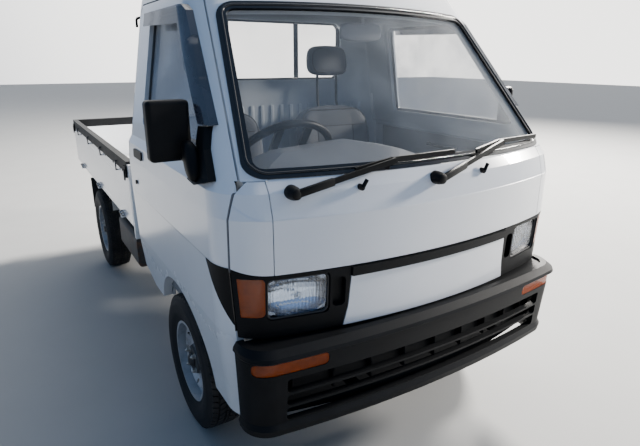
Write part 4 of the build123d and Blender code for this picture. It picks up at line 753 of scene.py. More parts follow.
def inflate(mesh, seams, cap, voxel=0.006, pressure=4.0, steps=20):
    """Swells a form with cloth pressure, held along its seams and capped in how far it moves."""
    pad = new_object("pad", mesh)
    remesh = pad.modifiers.new("Even mesh", "REMESH")
    remesh.mode, remesh.voxel_size = "VOXEL", voxel
    pad = new_object("pad", baked(pad))
    rest = np.array([v.co for v in pad.data.vertices])
    held = pad.vertex_groups.new(name="held")
    for i, place in enumerate(rest):
        near = min(seam(*place) for seam in seams)
        if near < 0.006:
            held.add([i], 1.0 if near < 0.004 else 0.6, "REPLACE")
    cloth = pad.modifiers.new("Cloth", "CLOTH")
    settings = cloth.settings
    settings.use_pressure, settings.uniform_pressure_force = True, pressure
    settings.vertex_group_mass = "held"
    settings.quality, settings.mass = 5, 0.3
    settings.tension_stiffness = settings.compression_stiffness = 12
    settings.effector_weights.gravity = 0
    cloth.collision_settings.use_collision = False
    cloth.point_cache.frame_start, cloth.point_cache.frame_end = 1, steps
    scene = bpy.context.scene
    for step in range(1, steps + 1):
        scene.frame_set(step)
    swollen = baked(pad)
    scene.frame_set(1)
    grown = np.array([v.co for v in swollen.vertices]) - rest
    reach = np.linalg.norm(grown, axis=1, keepdims=True)
    rest = rest + grown * np.minimum(1.0, cap / np.maximum(reach, 1e-9))
    swollen.vertices.foreach_set("co", rest.astype(np.float32).ravel())
    finer = new_object("pad", swollen)
    relax = finer.modifiers.new("Relax", "SMOOTH")
    relax.factor, relax.iterations = 0.5, 3
    level = finer.modifiers.new("Finer", "SUBSURF")
    level.levels = level.render_levels = 1
    return baked(finer)


def leaned(z):
    """The y of the seat back's middle at a height."""
    return BACK_Y + (z - BACK_Z) * BACK_SLOPE


def seat_shapes(swell):
    """Cushion, back and headrest of one seat about the middle plane, with the seams that hold each."""
    def cushion(x, y, z):
        roll = max(0.0, (-y - 0.14) / 0.08)
        top = max(0.0, z / 0.047)
        return x, y, z - 0.016 * roll * roll * top - 0.006 * top * (1 - (x / 0.215) ** 2)

    def back(x, y, z):
        narrow = 1.0 - 0.16 * max(0.0, min(1.0, (z - 0.10) / 0.13)) ** 2
        wings = -0.016 * max(0.0, (abs(x) - 0.09) / 0.11) ** 1.5 * (1.0 if y < 0 else 0.0)
        return x * narrow, y + wings + z * BACK_SLOPE, z

    def headrest(x, y, z):
        hollow = 0.008 * (1 - (x / 0.12) ** 2) * (1 if y < 0 else 0)
        return x * (1.0 - 0.08 * max(0.0, z / 0.07)), y + z * 0.10 - hollow, z

    def in_front(y, z):
        return y < leaned(z) - 0.02

    return (
        ("cushion", soft_form((0.218, 0.228, 0.047), (0, -0.805, 0.712), 6.0, 11, cushion), swell,
         [lambda x, y, z: abs(abs(x) - 0.115) if z > 0.72 else 1.0,
          lambda x, y, z: abs(y + 0.955) if z > 0.70 else 1.0,
          lambda x, y, z: abs(y + 0.79) if z > 0.72 and abs(x) < 0.115 else 1.0]),
        ("back", soft_form((0.208, 0.052, 0.232), (0, BACK_Y, BACK_Z), 6.0, 11, back), swell * 0.9,
         [lambda x, y, z: abs(abs(x) - 0.105) if in_front(y, z) else 1.0,
          lambda x, y, z: abs(z - 1.085) if in_front(y, z) else 1.0,
          lambda x, y, z: abs(z - 0.94) if in_front(y, z) and abs(x) < 0.105 else 1.0]),
        ("headrest", soft_form((0.112, 0.030, 0.070), (0, REST_Y, REST_Z), 4.2, 9, headrest), swell * 0.55,
         [lambda x, y, z: abs(y - REST_Y - (z - REST_Z) * 0.10)]),
    )


# ---- Sizes and colours ----


def length(name, text, default):
    return bpy.props.FloatProperty(name=name, description=text, default=default, min=0.0, unit="LENGTH",
                                   precision=4)


def colour(name, text, default):
    return bpy.props.FloatVectorProperty(name=name, description=text, default=default, min=0.0, max=1.0,
                                         size=3, subtype="COLOR")


def number(name, text, default):
    return bpy.props.IntProperty(name=name, description=text, default=default, min=1)


class TruckSizes(bpy.types.PropertyGroup):
    """Sizes that a user would change."""

    tread_blocks: number("Tread blocks", "Blocks in each row round a tyre", 60)
    tread_depth: length("Tread depth", "Height of a tread block over its groove", 0.007)
    nut_circle: length("Wheel nut circle", "Radius on which the wheel nuts stand", 0.044)
    nut_size: length("Wheel nut", "Half width of a wheel nut", 0.009)
    lens_dome: length("Headlamp dome", "How far the headlamp glass bows out", 0.006)
    wall_rib: length("Rear wall rib", "Width of a rib on the cab's rear wall", 0.020)
    wall_ribs: number("Rear wall ribs", "Ribs across the cab's rear wall", 21)
    piping: length("Seat piping", "Radius of the piping round the seats", 0.0035)
    swell: length("Seat swell", "Most that a seat's cover may swell", 0.024)
    screw: length("Trim screw", "Half width of a trim screw's head", 0.0065)


class TruckColours(bpy.types.PropertyGroup):
    """Colours that a user would change."""

    body: colour("Body", "Body enamel", (0.80, 0.815, 0.84))
    cab_inside: colour("Cab inside", "Painted metal inside the cab", (0.52, 0.56, 0.60))
    deck: colour("Bed", "Bed enamel", (0.80, 0.80, 0.79))
    black: colour("Black mouldings", "Bumper, bezels and fittings", (0.0045, 0.005, 0.006))
    trim: colour("Cabin trim", "Dashboard and cabin mouldings", (0.15, 0.16, 0.175))
    seat: colour("Seat cover", "Seat vinyl", (0.085, 0.095, 0.115))
    amber: colour("Amber lens", "Turn lamp lenses", (0.46, 0.070, 0.001))
    red: colour("Red lens", "Rear lamp lenses", (0.55, 0.012, 0.012))
    rim: colour("Wheel", "Wheel enamel", (0.46, 0.47, 0.49))


# ---- Steps ----


class TRUCK_OT_finishes(bpy.types.Operator):
    """Makes the paints, plastics, glass and rubbers, and puts them on the frame's own parts"""

    bl_idname = "truck.finishes"
    bl_label = "Paint and finishes"

    def execute(self, context):
        c = context.scene.truck_colours
        FINISHES.update(
            white=body_paint("White enamel", c.body, tone(c.cab_inside), fold="side"),
            outer_white=body_paint("White enamel panels", c.body, dust=0.4, fold="nose"),
            gates=body_paint("White enamel gates", c.body, dust=0.45, flecks=0.25),
            deck=bed_enamel("Bed enamel", c.deck),
            black=moulded_plastic("Black moulding", c.black),
            fittings=moulded_plastic("Black fittings", tone(c.black, 0.8), 1100.0, 0.38, 0.003),
            guard=moulded_plastic("Gate capping", tone(c.black, 1.2), 900.0, 0.48, 0.008),
            rubber=hard_rubber("Black rubber", (0.014, 0.014, 0.015)),
            lip=hard_rubber("Glossy rubber", (0.010, 0.010, 0.011), 0.08),
            tyre=tyre_rubber("Tyre rubber", (0.013, 0.013, 0.014)),
            rim=rim_steel("Wheel enamel", c.rim),
            nut=raw_metal("Plated nut", (0.42, 0.41, 0.38), 0.35, 0.3, 0.9),
            screw=raw_metal("Plated screw", (0.40, 0.40, 0.39), 0.25, 0.3, 0.9),
            dark_screw=raw_metal("Black screw", (0.03, 0.03, 0.03), 0.2, 0.4, 0.3),
            chassis=raw_metal("Chassis black", (0.030, 0.030, 0.032), 0.45, 0.5, 0.1),
            cast=raw_metal("Cast metal", (0.20, 0.20, 0.20), 0.4, 0.55, 0.6),
            glass=window_glass("Window glass", (0.30, 0.34, 0.36), 0.10),
            screen=window_glass("Screen glass", (0.34, 0.37, 0.40), 0.12),
            smoke=window_glass("Smoked acrylic", (0.050, 0.056, 0.075), 1.25),
            # A pale blue tone shown through a denser film: painted sky reflection on the door glass.
            door_glass=window_glass("Door glass with painted reflection", (0.42, 0.48, 0.57), 0.28),
            lens=ribbed_lens("Headlamp glass", (0.86, 0.92, 1.0), 95.0, 16.0, coat=0.3),
            reflector=bright_reflector("Lamp reflector"),
            bulb=ribbed_lens("Bulb glass", (0.98, 0.98, 0.96), 20.0),
            mirror=mirror_silver("Mirror silver"),
            amber=ribbed_lens("Amber lens", c.amber, 420.0, 0.0, 0.35, tone(c.amber, 0.7), 0.0),
            red=ribbed_lens("Red lens", c.red, 170.0, 90.0, 0.3, tone(c.red, 0.5), 0.2),
            trim=cabin_trim("Cabin trim", c.trim),
            mat=cabin_trim("Floor mat", (0.035, 0.036, 0.04), 500.0),
            card=cabin_trim("Door card", tone(c.trim, 1.15), 650.0),
            mirror_shell=cabin_trim("Mirror shell", (0.30, 0.31, 0.33), 1200.0),
            dial=cabin_trim("Dial face", (0.012, 0.012, 0.014), 1500.0),
            mark=cabin_trim("Dial mark", (0.75, 0.75, 0.72), 1500.0),
            seat=seat_cover("Seat vinyl", c.seat),
            piping=seat_cover("Seat piping", tone(c.seat, 0.22)),
            floor=studio_floor("Studio floor"),
        )
        worn = key_of(WORN)
        odd = sorted(set(NODES) ^ set(worn))
        if odd:
            raise RuntimeError(f"the frame and the list of finishes differ in {odd}")
        for name, finish in worn.items():
            for slot in NODES[name].material_slots:
                slot.material = FINISHES[finish]
        return {"FINISHED"}


class TRUCK_OT_tyres(bpy.types.Operator):
    """Turns the four tyres with their tread blocks"""

    bl_idname = "truck.tyres"
    bl_label = "Tyres"

    def execute(self, context):
        s = context.scene.truck_sizes
        half = [(0.0470, 0.1540), (0.0560, 0.1535), (0.0590, 0.1600), (0.0600, 0.1690), (0.0650, 0.1790),
                (0.0697, 0.1920), (0.0705, 0.1945), (0.0718, 0.2045), (0.0725, 0.2150), (0.0722, 0.2250),
                (0.0705, 0.2370), (0.0690, 0.2385), (0.0665, 0.2475), (0.0615, 0.2560), (0.0560, 0.2600),
                (0.0300, TYRE_R - s.tread_depth)]
        rows = [lathe(half + [(-x, r) for x, r in reversed(half)], 120, merge=1e-5)]
        count, ring_r, shoulder_x = s.tread_blocks, 0.262, 0.03
        pitch = 2 * math.pi * 0.2645 / count
        for across, wide, start, lean in ((-0.0485, 0.021, 0.0, -0.3), (0.0485, 0.021, 0.5, 0.3),
                                          (-0.0215, 0.024, 0.5, 0.5), (0.0215, 0.024, 0.0, -0.5),
                                          (0.0, 0.010, 0.25, 0.0)):
            shoulder = abs(across) > shoulder_x
            low = 0.2560 if shoulder else 0.2590
            block = rounded_block((TYRE_R - low, pitch * 0.80, wide),
                                  ((TYRE_R + low) / 2 - ring_r, 0, across), 0.0012, 1)
            for v in block.vertices:
                v.co.y += (v.co.z - across) * lean
                if shoulder:
                    v.co.x -= max(0.0, abs(v.co.z) - 0.050) * 0.45
            rows.append(ring_of(block, "tyre", count, ring_r, start * 2 * math.pi / count))
        whole = join(rows)
        for place, side, spot in wheel_places():
            piece(f"{place}_tyre_tread_{side}", copy_at(whole, spot), "tyre", f"{place}_wheel_{side}",
                  f"{place}_tyre_{side}")
        return {"FINISHED"}


class TRUCK_OT_wheels(bpy.types.Operator):
    """Adds the nuts, dust caps and valves of the wheels"""

    bl_idname = "truck.wheels"
    bl_label = "Wheel nuts and caps"

    def execute(self, context):
        s = context.scene.truck_sizes
        r = s.nut_size
        nut = cones(((20, r * 1.25, r * 1.15, -0.001, 0.003), (6, r, r, 0.002, 0.013),
                     (12, r * 0.8, r * 0.3, 0.012, 0.019)))
        nuts = ring_of(nut, "nut", 4, s.nut_circle, math.pi / 4, 0.044)
        cap = lathe([(0.020, 0.0), (0.020, 0.0262), (0.046, 0.0262), (0.0475, 0.0280), (0.0490, 0.0265),
                     (0.0550, 0.0240), (0.0590, 0.0180), (0.0610, 0.0090), (0.0615, 0.0)], 40)
        valve = tube([(0.034, 0.0, 0.118), (0.047, 0.0, 0.121), (0.056, 0.0, 0.122)], 0.0032)
        for place, side, spot in wheel_places():
            for label, mesh, finish in (("nuts", nuts, "nut"), ("cap", cap, "dark_screw"),
                                        ("valve", valve, "rubber")):
                piece(f"{place}_wheel_{label}_{side}", copy_at(mesh, spot), finish, f"{place}_wheel_{side}")
        return {"FINISHED"}


class TRUCK_OT_headlamps(bpy.types.Operator):
    """Builds each headlamp: fluted glass, reflector bowl and bulb"""

    bl_idname = "truck.headlamps"
    bl_label = "Headlamps"

    def execute(self, context):
        dome_y = context.scene.truck_sizes.lens_dome
        lenses, bowls, bulbs, gaskets = [], [], [], []
        for way in SIDES.values():
            front, back, bowl = [], [], []
            for v in spread(-1, 2, 22):
                rows = [], [], []
                for u in spread(-1, 2, 32):
                    pull = (abs(u) ** 7 + abs(v) ** 7) ** (1 / 7)
                    edge = max(abs(u), abs(v))
                    fit = edge / pull if pull else 1.0
                    x, z = LAMP_X + u * LAMP_HALF_W * fit, LAMP_Z + v * LAMP_HALF_H * fit
                    skin = nose_y(x, z) + 0.011
                    dome = dome_y * (1 - u ** 4) * (1 - v ** 4)
                    r = min(1.0, math.hypot(u, v) * 0.92)
                    hollow = 0.034 * math.sqrt(max(0.0, 1 - r ** 2)) * min(1.0, (1 - edge ** 6) * 1.4)
                    for row, y in zip(rows, (skin - dome, skin - dome * 0.8 + 0.004, skin + 0.0045 + hollow)):
                        row.append((way * x, y, z))
                for grid, row in zip((front, back, bowl), rows):
                    grid.append(row)
            lenses.append(between(front, back))
            bowls.append(panel(bowl, 0.0015, (0, 1, 0)))
            skin = nose_y(LAMP_X, LAMP_Z)
            bulbs.append(soft_form((0.008, 0.017, 0.008), (way * LAMP_X, skin + 0.034, LAMP_Z), 2.2, 6))
            bulbs.append(soft_form((0.011, 0.0035, 0.011), (way * LAMP_X, skin + 0.016, LAMP_Z), 2.5, 5))
            loop = rounded_loop(LAMP_HALF_W - 0.001, LAMP_HALF_H - 0.001, 0.018)
            gaskets.append(tube([(way * (LAMP_X + x), nose_y(LAMP_X + x, LAMP_Z + z) + 0.0085, LAMP_Z + z)
                                 for x, z in loop], 0.0038, True, 2))
        piece("headlamp_glasses", lenses, "lens", replaced="headlamps")
        piece("headlamp_reflectors", bowls, "reflector")
        piece("headlamp_bulbs", bulbs, "bulb")
        piece("headlamp_gaskets", gaskets, "rubber")
        return {"FINISHED"}


class TRUCK_OT_mirrors(bpy.types.Operator):
    """Sets the mirror glasses into their housings and the lip round the screen"""

    bl_idname = "truck.mirrors"
    bl_label = "Mirrors and screen lip"

    def execute(self, context):
        for side, way in SIDES.items():
            self.door_mirror(side, way)
            self.window_channel(side, way)
        self.room_mirror()
        self.screen_lip()
        rear = [tube([(x, y, 1.4385 + z) for x, z in rounded_loop(0.400, 0.1335, 0.030)], 0.0085, True, 3)
                for y in (-0.3585, -0.3715)]
        piece("rear_window_rubber", rear, "rubber")
        return {"FINISHED"}

    def door_mirror(self, side, way):
        """The glass, rim and arm cover of one door mirror; the left one is turned in towards the driver."""
        glass = rounded_block((0.104, 0.003, 0.154), (0, 0, 0), 0.0014, 1)
        for v in glass.vertices:
            v.co.x *= 1.0 - 0.05 * abs(v.co.z / 0.077) ** 3
        rim = tube([(x, -0.0005, z) for x, z in rounded_loop(0.0535, 0.0785, 0.012)], 0.0024, True, 2)
        hinge = Matrix.Translation((way * 0.684, -1.198, 0))
        turn = hinge @ Matrix.Rotation(math.radians(40 if way > 0 else 0), 4, "Z") @ hinge.inverted()
        place = turn @ Matrix.Translation((way * 0.741, -1.1965, 1.206))
        arm = soft_form((0.020, 0.030, 0.055), (way * 0.704, -1.300, 1.128), 3.0, 7,
                        lambda x, y, z: (x, y + z * 0.35, z))
        piece(f"mirror_glass_{side}", copy_at(glass, place), "mirror", f"door_{side}")
        piece(f"mirror_rim_{side}", copy_at(rim, place), "fittings", f"door_{side}")
        piece(f"mirror_arm_cover_{side}", arm, "fittings", f"door_{side}")

    def window_channel(self, side, way):
        """The flat rubber channel round one door's glass, laid on its outer face."""
        surface = surface_of(NODES[f"door_glass_{side}"].data)
        wide, thick, inset, reach = 0.0125, 0.006, 0.012, 0.01
        section = ((-0.0015, -0.001), (-0.0015, thick), (wide * 0.7, thick), (wide, thick * 0.5),
                   (wide, -0.001))
        corners = [(-1.334, 1.150), (-1.305, 1.236), (-1.032, 1.548), (-0.572, 1.548), (-0.572, 1.150)]
        loop = rounded_outline(corners, 0.022)
        centre = sum(loop, Vector((0, 0))) / len(loop)
        verts = []
        for i, at in enumerate(loop):
            along = (loop[(i + 1) % len(loop)] - loop[i - 1]).normalized()
            inward = Vector((-along.y, along.x))
            if inward.dot(centre - at) < 0:
                inward = -inward
            face, further = (
                met(surface, (way * 1.2, *(at + inward * deep)), (-way, 0, 0), "the window channel").x
                for deep in (inset, inset + reach))
            slope = (further - face) / reach
            for near, out in section:
                place = at + inward * near
                verts.append((face + slope * (near - inset) + way * out, place.x, place.y))
        strip = mesh_from(verts, ring_faces(len(loop), len(section)))
        piece(f"window_channel_{side}", strip, "rubber", f"door_{side}")

    def room_mirror(self):
        """The room mirror's shell on its stem, and its glass."""
        x = ROOM_MIRROR_X
        shell = soft_form((0.0925, 0.0150, 0.0330), (x, -1.0445, 1.4990), 3.4, 11)
        stem = tube([(x, -1.050, 1.510), (x, -1.054, 1.560), (x, -1.056, 1.600), (x, -1.052, 1.634)], 0.0065)
        foot = rounded_block((0.034, 0.012, 0.030), (x, -1.051, 1.620), 0.004, 2)
        piece("room_mirror_shell", [shell, stem, foot], "mirror_shell", replaced="room_mirror")
        glass = rounded_block((0.166, 0.003, 0.048), (x, -1.0292, 1.499), 0.0014, 1)
        piece("room_mirror_glass", glass, "mirror")

    def screen_lip(self):
        """The locking strip that runs round in the middle of the windscreen rubber."""
        seal = surface_of(NODES["windscreen_seal"].data)
        low, high, run, inset = 0.618, 0.527, 0.618, 0.015
        corners = [(-low + inset, inset), (low - inset, inset), (high - inset, run - inset),
                   (inset - high, run - inset)]
        along, out = Vector((0, 0.393, 0.477)).normalized(), Vector((0, -0.477, 0.393)).normalized()
        points = []
        for u, v in rounded_outline(corners, 0.047, 8, 24):
            part = v / run
            v -= (0.062 * (1 - part) + 0.037 * part) * (1 - (u / (low + (high - low) * part)) ** 2)
            start = Vector((u, -1.461, 1.091)) + along * v + out * 0.3
            points.append(met(seal, start, -out, "the locking strip"))
        piece("windscreen_lip", tube(points, 0.0042, True, 3), "lip")


class TRUCK_OT_bumper_back(bpy.types.Operator):
    """Stands the dark under-panel and its ribs behind the bumper's slots"""

    bl_idname = "truck.bumper_back"
    bl_label = "Bumper under-panel"

    def execute(self, context):
        radius = 2.35

        def face(x, z):
            return -1.575 + radius - math.sqrt(radius ** 2 - x * x) - (0.490 - z) * 0.10

        rows = [[(x, face(x, z), z) for x in spread(-0.64, 1.28, 40)]
                for z in (0.366, 0.386, 0.408, 0.432, 0.455, 0.480, 0.505, 0.530, 0.555)]
        made = [panel(rows, 0.004, (0, 1, 0))]
        for x in spread(-0.52, 1.04, 8):
            if abs(abs(x) - 0.325) > 0.03:
                made.append(rounded_block((0.006, 0.030, 0.118), (x, face(x, 0.49) - 0.013, 0.492), 0.002, 2))
        piece("bumper_under_panel", made, "black")
        return {"FINISHED"}


class TRUCK_OT_seats(bpy.types.Operator):
    """Sews and fills both seats: cushion, back and headrest with piping and posts"""

    bl_idname = "truck.seats"
    bl_label = "Seats"

    def execute(self, context):
        s = context.scene.truck_sizes
        pieces = {name: inflate(form, seams, cap) for name, form, cap, seams in seat_shapes(s.swell)}
        back, cushion, rest = (surface_of(pieces[name]) for name in ("back", "cushion", "headrest"))
        over, ahead, top, stitch = (0, 0, -1), (0, 1, 0), 0.95, s.piping * 0.55
        edges = (
            (back, [(x, -0.9, 0.948 + z) for x, z in rounded_loop(0.188, 0.214, 0.070, 10)], ahead, 1.0),
            (cushion, [(x, y - 0.805, top) for x, y in rounded_loop(0.205, 0.215, 0.045, 10)], over, 1.0),
            (rest, [(x, -0.9, REST_Z + z) for x, z in rounded_loop(0.096, 0.056, 0.042)], ahead, 0.6))
        cords = [tube(laid_on(pad, edge, way, -0.0005), s.piping * part, True, 3)
                 for pad, edge, way, part in edges]
        lines = [(cushion, [(x, y, top) for y in spread(-0.955, 0.36, 20)], over) for x in (-0.115, 0.115)]
        lines += [(back, [(x, -0.9, z) for z in spread(0.76, 0.325, 20)], ahead) for x in (-0.105, 0.105)]
        lines += [(back, [(x, -0.9, z) for x in spread(-half, 2 * half, 24)], ahead)
                  for half, z in ((0.165, 1.085), (0.105, 0.94))]
        lines += [(cushion, [(x, -0.955, top) for x in spread(-0.19, 0.38, 24)], over)]
        cords += [tube(laid_on(pad, line, way), stitch) for pad, line, way in lines]
        pieces["seams"] = join(cords)
        pieces["posts"] = join([
            tube([(x, leaned(1.14), 1.13), (x, -0.452, 1.20), (x, -0.449, 1.30), (x, -0.447, 1.36)],
                 0.006, steps=3)
            for x in (-0.056, 0.056)])
        runners = [rounded_block((0.030, 0.40, 0.020), (x, -0.80, 0.6655), 0.003, 2) for x in (-0.17, 0.17)]
        hinges = [rounded_block((0.012, 0.09, 0.10), (x, -0.585, 0.76), 0.005, 2) for x in (-0.236, 0.236)]
        pieces["hardware"] = join(runners + hinges)
        finishes = {"seams": "piping", "posts": "dark_screw", "hardware": "chassis"}
        for label, centre in SEAT_CENTRES_X.items():
            for name, mesh in pieces.items():
                padding = name not in finishes
                made = piece(f"{label}_seat_{name}", copy_at(mesh, Matrix.Translation((centre, 0, 0))),
                             finishes.get(name, "seat"), replaced="seats" if padding else None, smooth=60)
        return {"FINISHED"}


class TRUCK_OT_cabin(bpy.types.Operator):
    """Fits the cabin: rear wall ribs, door cards, dials, vents, glove box and column stalks"""

    bl_idname = "truck.cabin"
    bl_label = "Cabin"

    def execute(self, context):
        s = context.scene.truck_sizes
        rib = rounded_block((s.wall_rib, 0.006, 0.40), (0, -0.3925, 0.985), 0.0025, 2)
        step = 1.06 / (s.wall_ribs - 1)
        ribs = rows_of(rib, "white", [(s.wall_ribs, (-0.53, 0.0, 0.0), (step, 0.0, 0.0))])
        piece("rear_wall_ribs", ribs, "white")
        for side, way in SIDES.items():
            self.door_card(side, way)
        self.dash()
        return {"FINISHED"}

    def door_card(self, side, way):
        """One door's trim card with its armrest, winder and pull."""
        door = surface_of(NODES[f"door_{side}"].data)
        ys, zs = spread(-1.37, 0.90, 26), spread(0.50, 0.56, 16)
        hits = {(y, z): door.ray_cast(Vector((way * 0.2, y, z)), Vector((way, 0, 0)))[0]
                for z in zs for y in ys}
        known = {key: abs(hit.x) for key, hit in hits.items() if hit is not None}
        if not known:
            raise RuntimeError(f"the card found no door_{side} to lie on")
        middle = sorted(known.values())[len(known) // 2]

        def skin(y, z):
            """The door's inner face, or its usual depth where that is out of reach."""
            x = known.get((y, z), middle)
            return x if abs(x - middle) < 0.03 else middle

        def at(inset, y, z):
            return way * (middle - inset), y, z

        card = panel([[(way * (skin(y, z) - 0.0012), y, z) for y in ys] for z in zs], 0.004, (-way, 0, 0))
        piece(f"door_card_{side}", card, "card", f"door_{side}")
        hub = lathe([(0.0, 0.0), (0.0, 0.020), (0.010, 0.019), (0.020, 0.013), (0.022, 0.0)], 24, -way)
        knob = lathe([(0.0, 0.0), (0.0, 0.010), (0.024, 0.012), (0.030, 0.008), (0.031, 0.0)], 20, -way)
        fittings = [
            soft_form((0.022, 0.17, 0.020), at(0.026, -0.80, 0.93), 4.0, 7),
            tube([at(inset, y, 1.01) for inset, y in (
                (0.004, -1.02), (0.035, -1.0), (0.038, -0.93), (0.035, -0.86), (0.004, -0.84))], 0.008),
            copy_at(hub, Matrix.Translation(at(0.004, -1.13, 0.90))),
            tube([at(0.022, -1.13, 0.90), at(0.030, -1.10, 0.87), at(0.034, -1.06, 0.83)], 0.006),
            copy_at(knob, Matrix.Translation(at(0.030, -1.06, 0.83))),
        ]
        piece(f"door_card_fittings_{side}", fittings, "fittings", f"door_{side}")

    def dash(self):
        """Dials under the hood, vents, glove box lid and column stalks."""
        face = rounded_block((0.36, 0.010, 0.085), (STEERING_X, -1.232, DIALS_Z), 0.004, 2)
        heater = rounded_block((0.16, 0.012, 0.060), (-0.035, -1.208, 0.985), 0.004, 2)
        piece("dial_panel", [face, heater], "dial")
        marks = []
        for x, radius, count in ((-0.405, 0.034, 24), (-0.300, 0.028, 16), (-0.470, 0.016, 8)):
            mark = rounded_block((0.004, 0.0012, 0.0016), (0, 0, 0), 0.0003, 1)
            ring = ring_of(mark, "mark", count, radius)
            ring.transform(Matrix.Translation((x, -1.2262, DIALS_Z)) @ Matrix.Rotation(math.pi / 2, 4, "Z"))
            needle = rounded_block((radius * 0.8, 0.0012, 0.002), (radius * 0.35, 0, 0), 0.0004, 1)
            turn = Matrix.Rotation(math.radians(215), 4, "Y")
            needle.transform(Matrix.Translation((x, -1.2258, DIALS_Z)) @ turn)
            marks += [ring, needle]
        piece("dial_marks", marks, "mark")
        slat = rounded_block((0.105, 0.012, 0.0035), (0, 0, 0), 0.0012, 2)
        for v in slat.vertices:
            v.co.z += v.co.y * 0.5
        runs = [(6, (x, -1.203, 0.985), (0.0, 0.0, 0.0095)) for x in (-0.505, 0.160, 0.500)]
        piece("dash_vents", rows_of(slat, "fittings", runs), "fittings")
        lid = rounded_block((0.40, 0.008, 0.085), (0.30, -1.219, 0.925), 0.0035, 2)
        catch = rounded_block((0.050, 0.010, 0.016), (0.30, -1.214, 0.955), 0.004, 2)
        piece("glove_box_lid", [lid, catch], "trim")
        tilt, down = math.radians(38), 0.075
        stalks = []
        for way in (-1, 1):
            base = Vector((STEERING_X + way * 0.03, STEERING_Y - down * math.cos(tilt),
                           STEERING_Z - down * math.sin(tilt)))
            stalks.append(tube([base, base + Vector((way * 0.05, 0.004, 0.004)),
                                base + Vector((way * 0.125, 0.02, 0.015))], 0.0055))
        piece("column_stalks", stalks, "fittings")


class TRUCK_OT_fixings(bpy.types.Operator):
    """Adds the gates' screws and skirts, the guard frame's hooks, the wipers' caps and the flaps' screws"""

    bl_idname = "truck.fixings"
    bl_label = "Screws and small fittings"

    def execute(self, context):
        size, height, z = context.scene.truck_sizes.screw, 0.0022, 0.908
        for side, way in SIDES.items():
            rows = rows_of(screw_head(size, height, "X", way), "dark_screw",
                           [(9, (way * 0.7030, -0.235, z), (0.0, 0.2225, 0.0))])
            piece(f"gate_guard_screws_{side}", rows, "dark_screw", f"gate_{side}")
        tail = rows_of(screw_head(size, height, "Y"), "dark_screw", [(7, (-0.63, 1.6440, z), (0.21, 0.0, 0.0))])
        piece("gate_guard_screws_tail", tail, "dark_screw", "tailgate")
        self.guard_frame()
        self.skirts()
        self.wiper_pivots()
        flap = rows_of(screw_head(0.005, 0.003, "Y"), "screw",
                       [(3, (x, 1.262, 0.552), (0.045, 0.0, 0.0)) for x in (-0.645, 0.555)])
        piece("mud_flap_screws", flap, "screw")
        return {"FINISHED"}

    def guard_frame(self):
        """The hooks at the ends of the guard frame and the sleeves on its inner bars."""
        hooks = [tube([(way * x, GUARD_Y, z) for x, z in (
            (0.468, 1.566), (0.574, 1.566), (0.584, 1.563), (0.588, 1.555), (0.588, 1.527))], 0.0055)
            for way in SIDES.values()]
        hooks += [tube([(x, GUARD_Y, 0.945), (x, GUARD_Y, 1.602)], 0.0120) for x in (-0.185, 0.185)]
        piece("guard_frame_hooks", hooks, "fittings")

    def skirts(self):
        """The two thin skirts under each gate's capping."""
        thick, high, z = 0.0034, 0.030, 0.911
        for side, way in SIDES.items():
            made = [rounded_block((thick, 1.880, high), (way * x, 0.656, z), 0.0008, 1)
                    for x in (0.6908, 0.6622)]
            piece(f"gate_guard_skirt_{side}", made, "guard", f"gate_{side}")
        made = [rounded_block((1.290, thick, high), (0.0, y, z), 0.0008, 1) for y in (1.6318, 1.6032)]
        piece("gate_guard_skirt_tail", made, "guard", "tailgate")

    def wiper_pivots(self):
        """The domed cap on each wiper's pivot and the spring box of its arm."""
        pivots = []
        for x, (middle_x, middle_z) in ((-0.506, (-0.190, 1.126)), (-0.040, (0.300, 1.138))):
            y = nose_y(x, WIPER_Z)
            dome = lathe([(-0.004, 0.0), (-0.004, 0.0200), (0.008, 0.0205), (0.022, 0.0190), (0.036, 0.0150),
                          (0.0385, 0.0100), (0.039, 0.0)], 28)
            dome.transform(Matrix.Translation((x, y, WIPER_Z)) @ Matrix.Rotation(-math.pi / 2, 4, "Z"))
            root = Vector((x, y - 0.031, WIPER_Z))
            tip = Vector((middle_x, nose_y(middle_x, middle_z) - 0.042, middle_z))
            pivots += [dome, bar(root, root.lerp(tip, 0.36), 0.0135, 0.023, 0.004)]
        piece("wiper_pivots", pivots, "fittings")


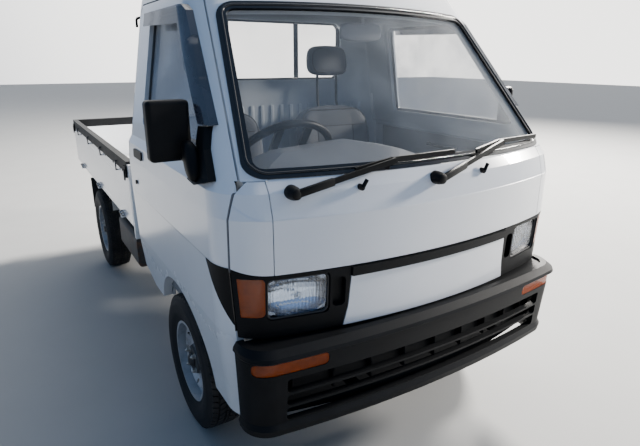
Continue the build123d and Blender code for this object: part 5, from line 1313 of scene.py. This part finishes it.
class TRUCK_OT_stage(bpy.types.Operator):
    """Sets the pale floor, the soft lights and the camera"""

    bl_idname = "truck.stage"
    bl_label = "Floor, lights and camera"

    def execute(self, context):
        corners = [(-30, -30, 0), (30, -30, 0), (30, 30, 0), (-30, 30, 0)]
        floor = new_object("studio_floor", mesh_from(corners, [(0, 1, 2, 3)]))
        floor.data.materials.append(FINISHES["floor"])
        context.scene.world = self.soft_room()
        for name, place, aim, size, power, warmth in (
                ("Key", (6.5, 4.0, 6.0), (0.0, 0.4, 0.6), 2.0, 4800.0, (1.0, 0.96, 0.90)),
                ("Side light", (8.0, -3.2, 3.8), (0.0, -1.4, 1.0), 1.2, 1700.0, (1.0, 0.95, 0.88))):
            light = bpy.data.lights.new(name, "AREA")
            light.shape, light.size, light.energy, light.color = "DISK", size, power, warmth
            lamp = new_object(name, light)
            lamp.location = place
            lamp.rotation_euler = (Vector(aim) - Vector(place)).to_track_quat("-Z", "Y").to_euler()
        self.photo_angle(context.scene)
        return {"FINISHED"}

    def photo_angle(self, scene):
        """The camera that was solved from the photo: where it stands, how it is turned and its focal length."""
        az, el, roll = math.radians(31.62), math.radians(18.0), math.radians(0.30)
        focal_px, photo_px, sensor = 506.0, 640.0, 36.0
        look = Vector((math.sin(az) * math.cos(el), math.cos(az) * math.cos(el), -math.sin(el)))
        right = Vector((math.cos(az), -math.sin(az), 0.0))
        up = right.cross(look)
        right, up = (math.cos(roll) * right + math.sin(roll) * up, math.cos(roll) * up - math.sin(roll) * right)
        camera = bpy.data.cameras.new("Photo angle")
        camera.sensor_width, camera.lens = sensor, focal_px * sensor / photo_px
        eye = new_object("Photo angle", camera)
        turn = Matrix((right, up, -look)).transposed().to_4x4()
        eye.matrix_world = Matrix.Translation((-1.132, -2.688, 1.404)) @ turn
        scene.camera = eye

    def soft_room(self):
        """A soft studio surround: pale behind the truck, dimmer and cooler on the camera's side."""
        world = bpy.data.worlds.new("Studio")
        world.use_nodes = True
        tree = world.node_tree
        place = wired(tree, "ShaderNodeTexCoord", {})
        towards = wired(tree, "ShaderNodeVectorMath", {0: place.outputs["Generated"], 1: (0.72, 0.64, 0.25)},
                        operation="DOT_PRODUCT")
        part = wired(tree, "ShaderNodeMapRange", {
            "Value": towards.outputs["Value"], "From Min": 0.34, "From Max": 0.86},
            interpolation_type="SMOOTHSTEP")
        blend = wired(tree, "ShaderNodeMix", {
            0: part, 6: (0.17, 0.29, 0.50, 1), 7: (3.2, 3.15, 3.05, 1)}, data_type="RGBA")
        sky = next(n for n in tree.nodes if n.type == "BACKGROUND")
        tree.links.new(blend.outputs[2], sky.inputs[0])
        return world


class TRUCK_PT_steps(bpy.types.Panel):
    """The steps that dress the truck, with its sizes and colours"""

    bl_idname = "TRUCK_PT_steps"
    bl_label = "Small flat-bed truck"
    bl_space_type = "VIEW_3D"
    bl_region_type = "UI"
    bl_category = "Truck"

    def draw(self, context):
        column = self.layout.column(align=True)
        for step in STEPS:
            column.operator(step.bl_idname)
        for group in (context.scene.truck_sizes, context.scene.truck_colours):
            box = self.layout.box()
            for name in group.__annotations__:
                box.prop(group, name)


STEPS = (TRUCK_OT_finishes, TRUCK_OT_tyres, TRUCK_OT_wheels, TRUCK_OT_headlamps, TRUCK_OT_mirrors,
         TRUCK_OT_bumper_back, TRUCK_OT_seats, TRUCK_OT_cabin, TRUCK_OT_fixings, TRUCK_OT_stage)
CLASSES = (TruckSizes, TruckColours, *STEPS, TRUCK_PT_steps)


def register():
    for made in CLASSES:
        bpy.utils.register_class(made)
    bpy.types.Scene.truck_sizes = bpy.props.PointerProperty(type=TruckSizes)
    bpy.types.Scene.truck_colours = bpy.props.PointerProperty(type=TruckColours)


def unregister():
    del bpy.types.Scene.truck_colours
    del bpy.types.Scene.truck_sizes
    for made in reversed(CLASSES):
        bpy.utils.unregister_class(made)


def main():
    register()
    bpy.ops.truck.finishes()
    bpy.ops.truck.tyres()
    bpy.ops.truck.wheels()
    bpy.ops.truck.headlamps()
    bpy.ops.truck.mirrors()
    bpy.ops.truck.bumper_back()
    bpy.ops.truck.seats()
    bpy.ops.truck.cabin()
    bpy.ops.truck.fixings()
    bpy.ops.truck.stage()


if __name__ == "__main__":
    main()
